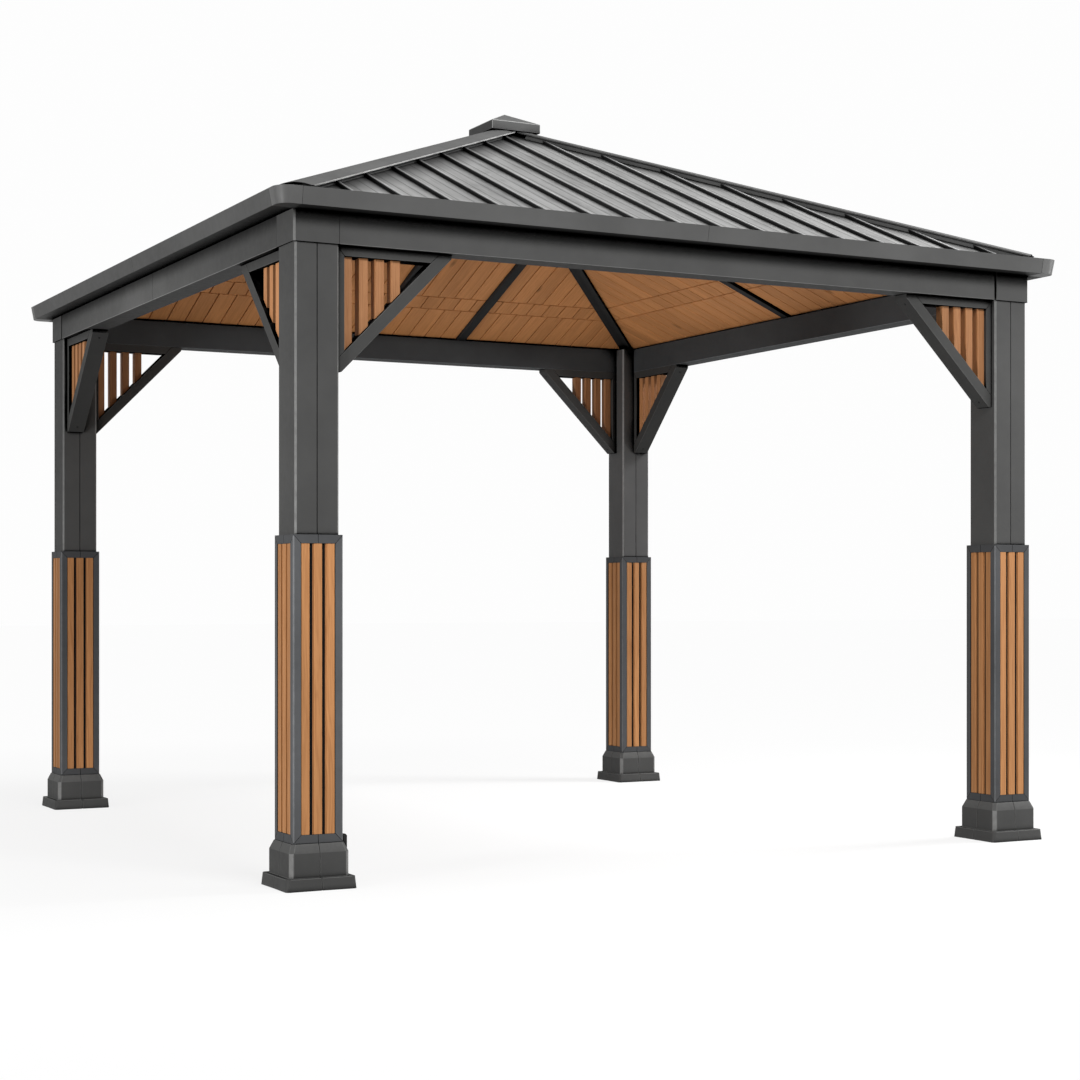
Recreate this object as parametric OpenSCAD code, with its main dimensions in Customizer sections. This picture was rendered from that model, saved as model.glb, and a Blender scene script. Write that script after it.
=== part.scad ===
// Square hardtop gazebo: four slat-clad posts, a ring of beams with corner braces, and a hipped
// roof of standing-seam sheets over a boarded ceiling. Origin at the middle of the footprint,
// on the ground. Front is -Y, right is +X.

/* [Footprint] */
// Distance between post centres, the same both ways
post_spacing = 3000; // [2400:20:3600]
// Height of the underside of the beams above the ground
beam_bottom = 2180; // [2000:10:2600]
// Clearance between neighbouring pieces that fit together
fit_gap = 0.3; // [0.2:0.05:0.4]

/* [Posts] */
// Width of a square post tube
post_w = 160; // [140:2:180]
// Wall of the post tube
post_wall = 4; // [3:0.5:6]
// Bevel on each long edge of the post
post_bevel = 7; // [3:0.5:10]
// Width of the fine joint lines in faces
joint_w = 2; // [1:0.1:3]
// Depth of the fine joint lines in faces
joint_d = 1.5; // [0.8:0.1:2]
// Margin of the foot plate round the post
foot_margin = 20; // [19:0.5:20.5]
// Thickness of the foot plate
foot_t = 8; // [6:0.5:12]
// Radius of the anchor holes in the foot plate
anchor_r = 5.5; // [4:0.5:6]
// Distance from an anchor hole's centre to the plate's edge
anchor_edge = 9; // [8:0.25:9]

/* [Base covers] */
// Margin of the cover's upright walls round the post
cover_margin = 27.5; // [27:0.5:32]
// Height of the cover, where the jacket stands
cover_h = 155; // [140:5:200]
// Height of the sloped shoulder
shoulder_h = 30; // [20:1:40]
// Inset of the shoulder from foot to top
shoulder_in = 13; // [10:0.5:13]
// Flat facet cut off each upright corner of the cover
cover_facet = 13; // [8:1:13]
// Wall of the cover
cover_wall = 5; // [3:0.5:5]
// Projection of the skirt beyond the cover's walls
skirt_out = 20.5; // [15:0.5:24]
// Height of the skirt
skirt_h = 42; // [30:1:50]
// Inward draft of the skirt's faces over its height
skirt_draft = 4; // [2:0.5:6]
// Corner radius of the skirt
skirt_r = 15; // [8:1:18]
// Seam between the four pieces of a cover
cover_seam = 1.6; // [1:0.1:2]

/* [Post jackets] */
// Thickness of the jacket frame on each face of the post
jacket_t = 10; // [8:0.5:12]
// Height of the top of the jackets above the ground
jacket_top = 1195; // [900:5:1400]
// Width of the jacket's upright stiles
jacket_stile = 28; // [22:1:32]
// Height of the jacket's rails
jacket_rail = 30; // [22:1:40]
// Bevel on the jacket's long edges
jacket_bevel = 4; // [2:0.5:5]
// Number of slats on each face of a jacket
slats_per_face = 3; // [2:1:4]
// Gap between the slats of a jacket
jacket_slat_gap = 12; // [8:1:16]
// Gap between the outer slats of a jacket and its stiles
jacket_slat_side = 2; // [1:0.5:4]
// How far the slats sit back from the jacket's face
slat_setback = 1.6; // [1:0.1:3]

/* [Beams] */
// Height of a beam
beam_h = 120; // [100:2:160]
// Thickness of a beam
beam_t = 100; // [90:2:110]
// Wall of the beam's box section
beam_wall = 4; // [3:0.5:6]
// How far the beam's outer face stands proud of the posts
beam_proud = 7; // [5:0.5:10]
// Gap between a beam's face and the cover on the post's head
head_gap = 2.4; // [1:0.1:4]

/* [Corner braces] */
// Length of a brace along the beam and down the post
brace_leg = 430; // [380:5:520]
// Depth of a brace from front to back
brace_t = 74; // [60:1:80]
// How far a brace sits back from the post's outer face
brace_setback = 20; // [10:1:20]
// Width of the brace's stile on the post
brace_stile = 27; // [20:1:35]
// Height of the brace's rail under the beam
brace_rail = 34; // [28:1:42]
// Width of the sloping member
brace_slope_w = 42; // [34:1:50]
// Blunt end of the sloping member
brace_blunt = 16; // [8:1:20]
// Width of a brace slat
brace_slat_w = 33; // [26:1:36]
// Distance from one brace slat to the next
brace_slat_pitch = 60; // [50:1:66]
// Depth of a brace slat
brace_slat_t = 40; // [30:1:44]
// How far the brace slats sit back from the brace's face
brace_slat_setback = 15; // [10:1:16]

/* [Roof] */
// Rise of the roof for each millimetre of run
slope = 0.42; // [0.36:0.01:0.46]
// How far the roof sheets reach beyond the beams' outer faces
eave_over = 33; // [25:1:37]
// Depth of the rafters, square to the roof
rafter_h = 88; // [80:1:96]
// Width of the common rafters
rafter_w = 45; // [38:1:50]
// Width of the hip rafters
hip_w = 62; // [54:1:70]
// Distance of the outer rafters from the middle one, front and rear
rafter_pitch = 500; // [420:10:560]
// Thickness of the ceiling boards
board_t = 12; // [9:0.5:14]
// How far the ceiling boards reach over the beams
board_lap = 12; // [8:1:16]
// How far the rafters stand below the ceiling boards
rafter_reveal = 15; // [10:1:24]
// How far the rafters' tails stop short of the beams' outer faces
tail_short = 2; // [1:0.5:4]
// Thickness of the roof sheets
sheet_t = 3; // [2:0.25:4]
// Height of the standing seams
seam_h = 25; // [18:1:28]
// Width of the standing seams
seam_w = 12; // [8:1:16]
// Distance from one standing seam to the next
seam_pitch = 185; // [160:1:210]
// Distance from a hip line to where the seams stop, in plan
seam_stop = 44; // [38:1:50]
// Gap between two roof sheets at a hip, in plan
sheet_gap = 8; // [5:1:12]
// Width of the hip caps
hip_cap_w = 160; // [150:1:168]
// Thickness of the hip caps
hip_cap_t = 2.5; // [2:0.25:3]
// Rise of the hip caps' arch, as a share of the rise of a cap folded flat on both slopes
hip_arch = 0.75; // [0.6:0.05:0.9]
// Width of the thickened edge of the hip caps
hip_hem_w = 9; // [6:0.5:12]
// Height of the thickened edge of the hip caps
hip_hem_h = 6; // [5:0.5:8]
// Distance in plan from the roof's corner to the foot of a hip cap
hip_cap_back = 22; // [18:1:40]
// Width of the hub that the rafters meet at
hub_w = 100; // [92:1:106]
// How far the hub hangs below the rafters
hub_drop = 60; // [30:1:80]
// Width of the square cap on the roof's peak
peak_w = 234; // [220:2:260]
// Height of the peak cap's upright rim
peak_rim = 38; // [32:1:44]
// Height of the peak cap's low pyramid
peak_rise = 56; // [40:1:70]
// Wall of the peak cap
peak_wall = 3; // [2:0.5:4]
// Gap between the peak cap's rim and the hip caps below it
peak_gap = 5; // [3:0.5:8]

/* [Gutter] */
// Height of the gutter's floor above the underside of the beams
gutter_up = 108; // [100:1:112]
// Height of the gutter's outer face
gutter_h = 59; // [50:1:62]
// Width of the gutter's floor, from the beam to the foot of the outer face
gutter_w = 78; // [63:1:93]
// How far the gutter's face leans out over its height
gutter_lean = 11.5; // [6:0.5:16]
// Thickness of the gutter's sheet
gutter_t = 2.5; // [2:0.25:3]
// Width of the return along the gutter's top edge
gutter_lip = 8; // [6:0.5:10]
// Height of the flange that fixes the gutter to the beam
gutter_back = 34; // [20:1:38]
// Gap where two lengths of gutter meet
gutter_joint = 0.8; // [0.6:0.1:0.9]

/* [Hidden] */

// Every piece is drawn at the front, or at the front left corner, and turned to its place
quarter_turn = 90;
front_turn = 0;
right_turn = quarter_turn;
rear_turn = 2 * quarter_turn;
left_turn = 3 * quarter_turn;
turns = [front_turn, right_turn, rear_turn, left_turn];
curve_steps = 48; // facets on a full turn of the round corners
arch_steps = 10; // chords along half of a hip cap's arch
overcut = 1; // how far a cutter runs past the face that it cuts
far = post_spacing; // a length well beyond any piece that is cut

half_span = post_spacing / 2;
half_post = post_w / 2;
beam_top = beam_bottom + beam_h;
beam_out = half_post + beam_proud; // outer face of the beams, from the post centres
beam_in = beam_out - beam_t; // inner face of the beams, from the post centres
beam_inner = half_span + beam_in; // inner face of the beams, from the middle of the plan
beam_outer = half_span + beam_out;

// The rafters' undersides lie in a plane that meets the beams' inner top edge
pitch = atan(slope);
upright = 1 / cos(pitch); // height of one millimetre measured square to the roof
eave_out = beam_out + eave_over; // edge of the roof sheets, from the post centres
eave = half_span + eave_out;
board_base = rafter_reveal;
sheet_base = rafter_h;
seam_base = rafter_h + sheet_t;
seam_top = seam_base + seam_h;

function underside(run) = beam_top + slope * (beam_inner - run); // rafter underside at a run

// Hips run along the diagonals of the plan
diagonal = sqrt(2);
hip_pitch = atan(slope / diagonal);
wing = slope / diagonal * cos(hip_pitch); // fall of a roof plane away from the hip, across it

plate_w = post_w + 2 * foot_margin;
cover_w = post_w + 2 * cover_margin;
skirt_w = cover_w + 2 * skirt_out;
jacket_w = post_w + 2 * jacket_t;
jacket_open = jacket_w - 2 * jacket_stile;
jacket_slat_w = (jacket_open - 2 * jacket_slat_side
    - (slats_per_face - 1) * jacket_slat_gap) / slats_per_face;

gutter_floor = beam_bottom + gutter_up;
gutter_top = gutter_floor + gutter_h;
gutter_out = beam_out + gutter_w; // foot of the gutter's outer face, from the post centres
gutter_arm = eave_over; // straight part of each arm of a corner piece

peak_bottom = underside(peak_w / 2) + seam_top * upright + peak_gap;
peak_rim_top = peak_bottom + peak_rim;
hub_top = peak_rim_top - peak_wall;
hub_bottom = underside(0) - hub_drop;
hub_clear = hub_w / 2 + fit_gap;
hip_cap_end = max(hub_w / 2, hip_cap_w / 2 / diagonal) + sheet_gap; // upper end, in plan

charcoal = "#4a4c4e";
sheet_grey = "#8d8f91";
slat_wood = "#c48c5f";
board_wood = "#96603a";
dark_charcoal = "#2c2e30";

// ---- placing ----

module at_corner(turn) {
    rotate([0, 0, turn]) translate([-half_span, -half_span, 0]) children();
}

module at_side(turn) {
    rotate([0, 0, turn]) children();
}

// Draws children four times, once for each face of a square post
module each_face() {
    for (turn = turns) rotate([0, 0, turn]) children();
}

// ---- outlines ----

// A square with its four corners cut off
module bevelled_square(width, bevel) {
    h = width / 2;
    b = h - bevel;
    polygon([[-h, -b], [-b, -h], [b, -h], [h, -b], [h, b], [b, h], [-b, h], [-h, b]]);
}

// A square with round corners, drawn as arcs
module round_square(width, radius) {
    c = width / 2 - radius;
    steps = curve_steps / 4;
    polygon([for (turn = turns, i = [0:steps])
        let (a = turn + quarter_turn * i / steps, m = turn + quarter_turn / 2)
        [c * sign(cos(m)) + radius * cos(a), c * sign(sin(m)) + radius * sin(a)]]);
}

module joint_grooves(width) {
    each_face() translate([-joint_w / 2, -width / 2 - overcut])
        square([joint_w, joint_d + overcut]);
}

// ---- posts ----

module post(turn) {
    color(charcoal) at_corner(turn) {
        difference() {
            union() {
                linear_extrude(beam_top) difference() {
                    bevelled_square(post_w, post_bevel);
                    joint_grooves(post_w);
                }
                translate([-plate_w / 2, -plate_w / 2, 0]) cube([plate_w, plate_w, foot_t]);
            }
            translate([0, 0, foot_t]) linear_extrude(beam_top)
                square(post_w - 2 * post_wall, center = true);
            each_face() translate([plate_w / 2 - anchor_edge, plate_w / 2 - anchor_edge, -overcut])
                cylinder(h = foot_t + 2 * overcut, r = anchor_r, $fn = curve_steps);
        }
    }
}

// ---- base covers ----

module cover_outside() {
    body_top = cover_h - shoulder_h;
    linear_extrude(skirt_h, scale = (skirt_w - 2 * skirt_draft) / skirt_w)
        round_square(skirt_w, skirt_r);
    linear_extrude(body_top) bevelled_square(cover_w, cover_facet);
    translate([0, 0, body_top])
        linear_extrude(shoulder_h, scale = (cover_w - 2 * shoulder_in) / cover_w)
        bevelled_square(cover_w, cover_facet);
}

module cover_inside() {
    hollow_top = cover_h - shoulder_h;
    translate([0, 0, -overcut]) linear_extrude(hollow_top + overcut)
        bevelled_square(cover_w - 2 * cover_wall, cover_facet);
    linear_extrude(cover_h + overcut) square(post_w + 2 * fit_gap, center = true);
}

module base_cover(turn) {
    color(charcoal) at_corner(turn) difference() {
        cover_outside();
        cover_inside();
        each_face() translate([-cover_seam / 2, 0, -overcut])
            cube([cover_seam, skirt_w, cover_h + 2 * overcut]);
    }
}

// ---- post jackets ----

module jacket_frame(turn) {
    frame_h = jacket_top - cover_h;
    color(charcoal) at_corner(turn) translate([0, 0, cover_h]) difference() {
        linear_extrude(frame_h) difference() {
            bevelled_square(jacket_w, jacket_bevel);
            square(post_w + 2 * fit_gap, center = true);
        }
        each_face() {
            translate([-jacket_open / 2, -jacket_w / 2 - overcut, jacket_rail])
                cube([jacket_open, jacket_w / 2, frame_h - 2 * jacket_rail]);
            translate([-joint_w / 2, -jacket_w / 2 - overcut, -overcut])
                cube([joint_w, joint_d + overcut, frame_h + 2 * overcut]);
        }
    }
}

module jacket_slats(turn) {
    slat_pitch = jacket_slat_w + jacket_slat_gap;
    slat_t = jacket_t - slat_setback - fit_gap;
    color(slat_wood) at_corner(turn) each_face()
        for (i = [0:slats_per_face - 1])
            translate([(i - (slats_per_face - 1) / 2) * slat_pitch - jacket_slat_w / 2,
                -jacket_w / 2 + slat_setback, cover_h + jacket_rail])
                cube([jacket_slat_w, slat_t, jacket_top - cover_h - 2 * jacket_rail]);
}

// ---- beams and post heads ----

module beam(turn) {
    length = post_spacing - post_w - 2 * fit_gap;
    color(charcoal) at_side(turn) translate([-length / 2, -beam_outer, beam_bottom]) difference() {
        cube([length, beam_t, beam_h]);
        translate([-overcut, beam_wall, beam_wall])
            cube([length + 2 * overcut, beam_t - 2 * beam_wall, beam_h - 2 * beam_wall]);
        translate([length / 2 - joint_w / 2, -overcut, -overcut])
            cube([joint_w, beam_t + 2 * overcut, joint_d + overcut]);
        translate([length / 2 - joint_w / 2, -overcut, -overcut])
            cube([joint_w, joint_d + overcut, beam_h + 2 * overcut]);
        translate([length / 2 - joint_w / 2, beam_t - joint_d, -overcut])
            cube([joint_w, joint_d + overcut, beam_h + 2 * overcut]);
    }
}

module post_head_covers() {
    reach = half_post - head_gap;
    inner = half_post + fit_gap;
    color(charcoal) for (turn = turns) at_corner(turn) translate([0, 0, beam_bottom])
        linear_extrude(beam_h) difference() {
            polygon([[-beam_out, -beam_out + post_bevel], [-beam_out + post_bevel, -beam_out],
                [reach, -beam_out], [reach, reach], [-beam_out, reach]]);
            translate([-inner, -inner]) square(post_w);
        }
}

// ---- corner braces ----

// Outline of a brace on its post and beam: x runs from the post's face, y down from the beam
module brace_outline() {
    difference() {
        polygon([[0, 0], [brace_leg, 0], [brace_leg, -brace_blunt],
            [brace_blunt, -brace_leg], [0, -brace_leg]]);
        brace_opening();
    }
}

// The opening between rail, stile and sloping member
module brace_opening() {
    sloped = brace_leg + brace_blunt - brace_slope_w * diagonal;
    polygon([[brace_stile, -brace_rail], [sloped - brace_rail, -brace_rail],
        [brace_stile, -(sloped - brace_stile)]]);
}

// Draws children, upright in the x and z directions, as the pair of braces on one post
module brace_pair() {
    brace_y = -half_post + brace_setback;
    for (turned = [0, 1]) mirror([turned, -turned, 0])
        translate([half_post + fit_gap, brace_y, beam_bottom]) children();
}

module braces(turn) {
    color(charcoal) at_corner(turn) brace_pair()
        translate([0, brace_t, 0]) rotate([quarter_turn, 0, 0])
        linear_extrude(brace_t) brace_outline();
}

module brace_slats(turn) {
    slat_count = floor((brace_leg + brace_blunt - brace_slope_w * diagonal - brace_rail
        - brace_stile - brace_slat_w) / brace_slat_pitch);
    color(slat_wood) at_corner(turn) brace_pair()
        translate([0, brace_slat_setback + brace_slat_t, 0]) rotate([quarter_turn, 0, 0])
        linear_extrude(brace_slat_t) intersection() {
            brace_opening();
            for (i = [0:slat_count - 1])
                translate([brace_stile + i * brace_slat_pitch, -brace_leg])
                    square([brace_slat_w, brace_leg]);
        }
}

// ---- roof ----

// A slab in the front roof plane between two heights, both measured square to the plane
// from the rafters' undersides, and out to a run from the middle of the plan
module front_slab(low, high, out) {
    intersection() {
        translate([0, -out, underside(out)]) rotate([pitch, 0, 0])
            translate([-far, -far, low]) cube([2 * far, 2 * far, high - low]);
        translate([-out, -out, 0]) cube([2 * out, out, 2 * far]);
    }
}

// The part of the plan that belongs to the front side, kept a distance clear of both hip lines
module front_wedge(clear) {
    tip = clear * diagonal;
    linear_extrude(2 * far) polygon([[0, -tip], [-far, -far - tip], [far, -far - tip]]);
}

// Half of the strip along the front left hip: the half that lies in the front plane
module front_hip_strip(width) {
    across = width / 2 * diagonal;
    linear_extrude(2 * far)
        polygon([[0, 0], [0, -across], [-far + across, -far], [-far, -far]]);
}

module rafter_strip(x, width) {
    translate([x - width / 2, -far, 0]) cube([width, far, 2 * far]);
}

// Space for the beams and posts under the rafters' seats
module seat() {
    translate([-far, -far, 0]) cube([2 * far, 2 * far, beam_top]);
}

// Three common rafters at the front and rear, and one at each side
function rafter_places(turn) = turn == front_turn || turn == rear_turn
    ? [-rafter_pitch, 0, rafter_pitch]
    : [0];

module hip_rafters() {
    color(dark_charcoal) for (turn = turns) at_side(turn) difference() {
        union() {
            for (turned = [0, 1]) mirror([turned, -turned, 0]) intersection() {
                front_slab(0, rafter_h, beam_outer - tail_short);
                front_hip_strip(hip_w);
            }
        }
        seat();
        translate([-hub_clear, -hub_clear, 0]) cube([2 * hub_clear, 2 * hub_clear, 2 * far]);
    }
}

module common_rafters() {
    color(dark_charcoal) for (turn = turns) at_side(turn) difference() {
        intersection() {
            front_slab(0, rafter_h, beam_outer - tail_short);
            front_wedge(hip_w / 2 + fit_gap);
            union() {
                for (x = rafter_places(turn)) rafter_strip(x, rafter_w);
            }
        }
        seat();
    }
}

module roof_hub() {
    color(dark_charcoal) translate([-hub_w / 2, -hub_w / 2, hub_bottom])
        cube([hub_w, hub_w, hub_top - hub_bottom]);
}

module ceiling(turn) {
    color(board_wood) at_side(turn) difference() {
        intersection() {
            front_slab(board_base, board_base + board_t, beam_inner + board_lap);
            front_wedge(hip_w / 2 + fit_gap);
        }
        for (x = rafter_places(turn)) rafter_strip(x, rafter_w + 2 * fit_gap);
    }
}

// Seams stand at half pitches either side of the middle, as many as the eave has room for
function seam_places() = let (n = floor((eave - seam_stop) / seam_pitch))
    [for (i = [0:n - 1], side = [-1, 1]) side * (i + 1 / 2) * seam_pitch];

module roof_sheet(turn) {
    color(sheet_grey) at_side(turn) difference() {
        union() {
            intersection() {
                front_slab(sheet_base + fit_gap, seam_base, eave);
                front_wedge(sheet_gap / 2);
            }
            intersection() {
                front_slab(seam_base - sheet_t / 2, seam_top, eave);
                front_wedge(seam_stop / diagonal);
                union() {
                    for (x = seam_places()) rafter_strip(x, seam_w);
                }
            }
        }
        translate([-hub_clear, -hub_clear, 0]) cube([2 * hub_clear, 2 * hub_clear, 2 * far]);
    }
}

// Section of a hip cap: an arched strip whose thick edges rest on the standing seams
module hip_cap_section() {
    half = hip_cap_w / 2;
    edge = -wing * half + fit_gap; // underside of the thick edge
    crown = edge + hip_hem_h + (half - hip_hem_w) * wing * hip_arch;
    shoulder = edge + hip_hem_h;
    function arch(s, drop) = crown - drop
        - (crown - shoulder) * pow(s / (half - hip_hem_w), 2);
    inner = half - hip_hem_w;
    top = [for (i = [-arch_steps:arch_steps]) let (s = inner * i / arch_steps) [s, arch(s, 0)]];
    under = [for (i = [arch_steps:-1:-arch_steps]) let (s = inner * i / arch_steps)
        [s, arch(s, hip_cap_t)]];
    polygon(concat([[-half, edge], [-half, shoulder]], top,
        [[half, shoulder], [half, edge], [inner, edge + hip_hem_w * wing]], under,
        [[-inner, edge + hip_hem_w * wing]]));
}

module hip_caps() {
    foot = eave - hip_cap_back;
    along = diagonal / cos(hip_pitch); // length along the hip of one millimetre of run
    color(charcoal) for (turn = turns) at_side(turn)
        translate([-foot, -foot, underside(foot) + seam_top * upright])
        rotate([0, 0, quarter_turn / 2]) rotate([0, -hip_pitch, 0])
        rotate([quarter_turn, 0, quarter_turn])
        linear_extrude((foot - hip_cap_end) * along) hip_cap_section();
}

module peak_cap() {
    h = peak_w / 2;
    color(charcoal) difference() {
        union() {
            translate([-h, -h, peak_bottom]) cube([peak_w, peak_w, peak_rim]);
            intersection() {
                translate([-h, -h, peak_rim_top]) cube([peak_w, peak_w, peak_rise]);
                peak_slopes(h);
            }
        }
        translate([-h + peak_wall, -h + peak_wall, peak_bottom - overcut])
            cube([peak_w - 2 * peak_wall, peak_w - 2 * peak_wall, hub_top - peak_bottom + overcut]);
    }
}

// Everything under four planes that rise from the peak cap's rim to its tip
module peak_slopes(h) {
    lean = atan(peak_rise / h);
    intersection_for (turn = turns) at_side(turn)
        translate([0, -h, peak_rim_top]) rotate([lean, 0, 0])
        translate([-far, -far, -2 * far]) cube([2 * far, 3 * far, 2 * far]);
}

// ---- gutter ----

// The gutter's section: x runs out from the post centres, y up from the ground. Its flange
// against the beam is left off where it turns the corner.
module gutter_section(start, flange) {
    lean = gutter_lean / gutter_h;
    skin = gutter_t * sqrt(1 + lean * lean);
    function face(z) = gutter_out + lean * (z - gutter_floor);
    floor_top = gutter_floor + gutter_t;
    lip_under = gutter_top - gutter_t;
    face_top = face(gutter_top);
    polygon(concat([[start, gutter_floor], [gutter_out, gutter_floor], [face_top, gutter_top],
        [face_top - gutter_lip, gutter_top], [face_top - gutter_lip, lip_under],
        [face(lip_under) - skin, lip_under], [face(floor_top) - skin, floor_top]],
        flange ? [[start + gutter_t, floor_top], [start + gutter_t, gutter_floor + gutter_back],
            [start, gutter_floor + gutter_back]] : [[start, floor_top]]));
}

module gutter(turn) {
    length = 2 * (beam_outer - gutter_joint);
    color(charcoal) at_side(turn) difference() {
        translate([-length / 2, -half_span, 0]) rotate([quarter_turn, 0, quarter_turn])
            linear_extrude(length) mirror([1, 0]) gutter_section(beam_out, true);
        translate([-gutter_joint / 2, -far, 0]) cube([gutter_joint, far, 2 * far]);
    }
}

module gutter_corners() {
    color(charcoal) for (turn = turns) at_corner(turn) {
        translate([-eave_out, -eave_out, 0]) rotate([0, 0, 2 * quarter_turn])
            rotate_extrude(angle = quarter_turn, $fn = curve_steps)
            translate([-eave_out, 0]) intersection() {
                gutter_section(eave_out, false);
                translate([eave_out, 0]) square([far, 2 * far]);
            }
        for (turned = [0, 1]) mirror([turned, -turned, 0])
            translate([-eave_out, 0, 0]) rotate([quarter_turn, 0, quarter_turn])
            linear_extrude(gutter_arm) mirror([1, 0]) gutter_section(beam_out, false);
    }
}

post(front_turn);  // front_left_post
post(right_turn);  // front_right_post
post(rear_turn);  // rear_right_post
post(left_turn);  // rear_left_post
base_cover(front_turn);  // front_left_base_cover
base_cover(right_turn);  // front_right_base_cover
base_cover(rear_turn);  // rear_right_base_cover
base_cover(left_turn);  // rear_left_base_cover
jacket_frame(front_turn);  // front_left_jacket_frame
jacket_frame(right_turn);  // front_right_jacket_frame
jacket_frame(rear_turn);  // rear_right_jacket_frame
jacket_frame(left_turn);  // rear_left_jacket_frame
jacket_slats(front_turn);  // front_left_jacket_slats
jacket_slats(right_turn);  // front_right_jacket_slats
jacket_slats(rear_turn);  // rear_right_jacket_slats
jacket_slats(left_turn);  // rear_left_jacket_slats
beam(front_turn);  // front_beam
beam(right_turn);  // right_beam
beam(rear_turn);  // rear_beam
beam(left_turn);  // left_beam
post_head_covers();
braces(front_turn);  // front_left_braces
braces(right_turn);  // front_right_braces
braces(rear_turn);  // rear_right_braces
braces(left_turn);  // rear_left_braces
brace_slats(front_turn);  // front_left_brace_slats
brace_slats(right_turn);  // front_right_brace_slats
brace_slats(rear_turn);  // rear_right_brace_slats
brace_slats(left_turn);  // rear_left_brace_slats
hip_rafters();
common_rafters();
roof_hub();
ceiling(front_turn);  // front_ceiling
ceiling(right_turn);  // right_ceiling
ceiling(rear_turn);  // rear_ceiling
ceiling(left_turn);  // left_ceiling
roof_sheet(front_turn);  // front_roof_sheet
roof_sheet(right_turn);  // right_roof_sheet
roof_sheet(rear_turn);  // rear_roof_sheet
roof_sheet(left_turn);  // left_roof_sheet
hip_caps();
peak_cap();
gutter(front_turn);  // front_gutter
gutter(right_turn);  // right_gutter
gutter(rear_turn);  // rear_gutter
gutter(left_turn);  // left_gutter
gutter_corners();
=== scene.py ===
# %% [markdown]
# # A hardtop gazebo in powder-coated metal and wood
# The frame that is loaded here holds the plain solids of a square garden gazebo: posts, beams, braces,
# rafters, boards, roof sheets, caps and gutters. They have the right sizes, but their edges are as sharp
# as a drawing and they have no finish. A real gazebo is bent, sawn and coated, so each solid below gets
# a piece made for it, with eased edges, joints and grain, and that piece then stands in its place.
# All lengths are in metres, +Z is up and the front faces -Y.

# %% Open the frame
import bpy, bmesh, random
from math import atan, copysign, cos, pi, radians, sin
from mathutils import Matrix, Vector


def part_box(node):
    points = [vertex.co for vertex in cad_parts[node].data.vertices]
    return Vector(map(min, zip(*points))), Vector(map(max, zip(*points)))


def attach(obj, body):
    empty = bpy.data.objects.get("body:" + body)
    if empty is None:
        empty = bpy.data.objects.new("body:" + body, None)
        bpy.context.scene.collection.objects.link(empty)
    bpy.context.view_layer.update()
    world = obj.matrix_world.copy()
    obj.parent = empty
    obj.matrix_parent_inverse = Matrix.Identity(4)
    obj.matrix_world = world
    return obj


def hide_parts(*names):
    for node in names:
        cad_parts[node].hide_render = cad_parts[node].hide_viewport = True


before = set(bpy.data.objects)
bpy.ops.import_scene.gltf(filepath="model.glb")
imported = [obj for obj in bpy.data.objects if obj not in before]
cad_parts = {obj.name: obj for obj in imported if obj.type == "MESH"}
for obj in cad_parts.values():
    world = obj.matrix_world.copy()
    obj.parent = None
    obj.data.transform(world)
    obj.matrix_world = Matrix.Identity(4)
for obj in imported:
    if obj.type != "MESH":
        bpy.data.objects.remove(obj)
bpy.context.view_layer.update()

# %% [markdown]
# ## Camera, floor and light
# A building this size is looked at from a standing visitor's distance, with the corner post in front.
# The camera is level, so upright posts stay upright, and a little vertical shift lifts the roof into view.
# The floor is a plain white sheet. Seen directly it is almost white by itself, so that the building
# stands on a pale ground, but near the building a fifth of it is ordinary white paint, which takes the
# building's shadow. The lamps are large and soft: one in front and above, two low strips on the left,
# a small one low on the right, and one above the roof that grazes its seams.

# %% The camera
def add_object(name, data):
    """Put a mesh, a lamp or a camera in the scene."""
    made = bpy.data.objects.new(name, data)
    bpy.context.scene.collection.objects.link(made)
    return made

def place_camera(place, turn, lens, lift):
    """Set up a level camera that looks along +Y, turned to the right by turn."""
    camera = add_object("camera", bpy.data.cameras.new("camera"))
    camera.location = place
    camera.rotation_euler = (pi / 2, 0, -turn)
    camera.data.lens = lens
    camera.data.sensor_width = 36
    camera.data.shift_y = lift
    camera.data.clip_end = 100
    bpy.context.scene.camera = camera
    return camera

camera = place_camera((-4.063, -8.085, 0.989), radians(27.673), 68.71, 0.0515)
print("camera stands", round(Vector(camera.location).length, 2), "m from the middle of the floor")

# %% Adding shader nodes
def plug(material, made, **sockets):
    """Fill a node's sockets. Each takes a plain value, or another node's output."""
    for name, value in sockets.items():
        socket = made.inputs[int(name[1:]) if name[0] == "_" else name.replace("_", " ")]
        if isinstance(value, bpy.types.NodeSocket):
            material.node_tree.links.new(value, socket)
        else:
            socket.default_value = value
    return made

def node(material, kind, settings=None, **sockets):
    """Add a node to a material, with its settings and sockets filled."""
    made = material.node_tree.nodes.new("ShaderNode" + kind)
    for name, value in (settings or {}).items():
        setattr(made, name, value)
    return plug(material, made, **sockets)

def ramp(material, value, start, end, low, high, **settings):
    """low up to start, high from end on, and in between what lies between."""
    return node(material, "MapRange", settings, _0=value, _1=start, _2=end, _3=low, _4=high).outputs[0]

def reckon(material, work, one, other=0.5):
    """One sum with two numbers. Some sums use only the first."""
    return node(material, "Math", {"operation": work}, _0=one, _1=other).outputs[0]

def times(material, one, other):
    """Two numbers multiplied."""
    return reckon(material, "MULTIPLY", one, other)

def mixed(material, share, one, other):
    """Share of the way from one colour to another."""
    return node(material, "Mix", {"data_type": "RGBA"}, _0=share, _6=one, _7=other).outputs[2]

def whereabouts(material):
    """Each spot's own place on its mesh."""
    return node(material, "TexCoord").outputs["Object"]

def new_finish(name):
    """A new material. Its main shader is there from the start."""
    finish = bpy.data.materials.new(name)
    finish.use_nodes = True
    return finish

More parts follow.
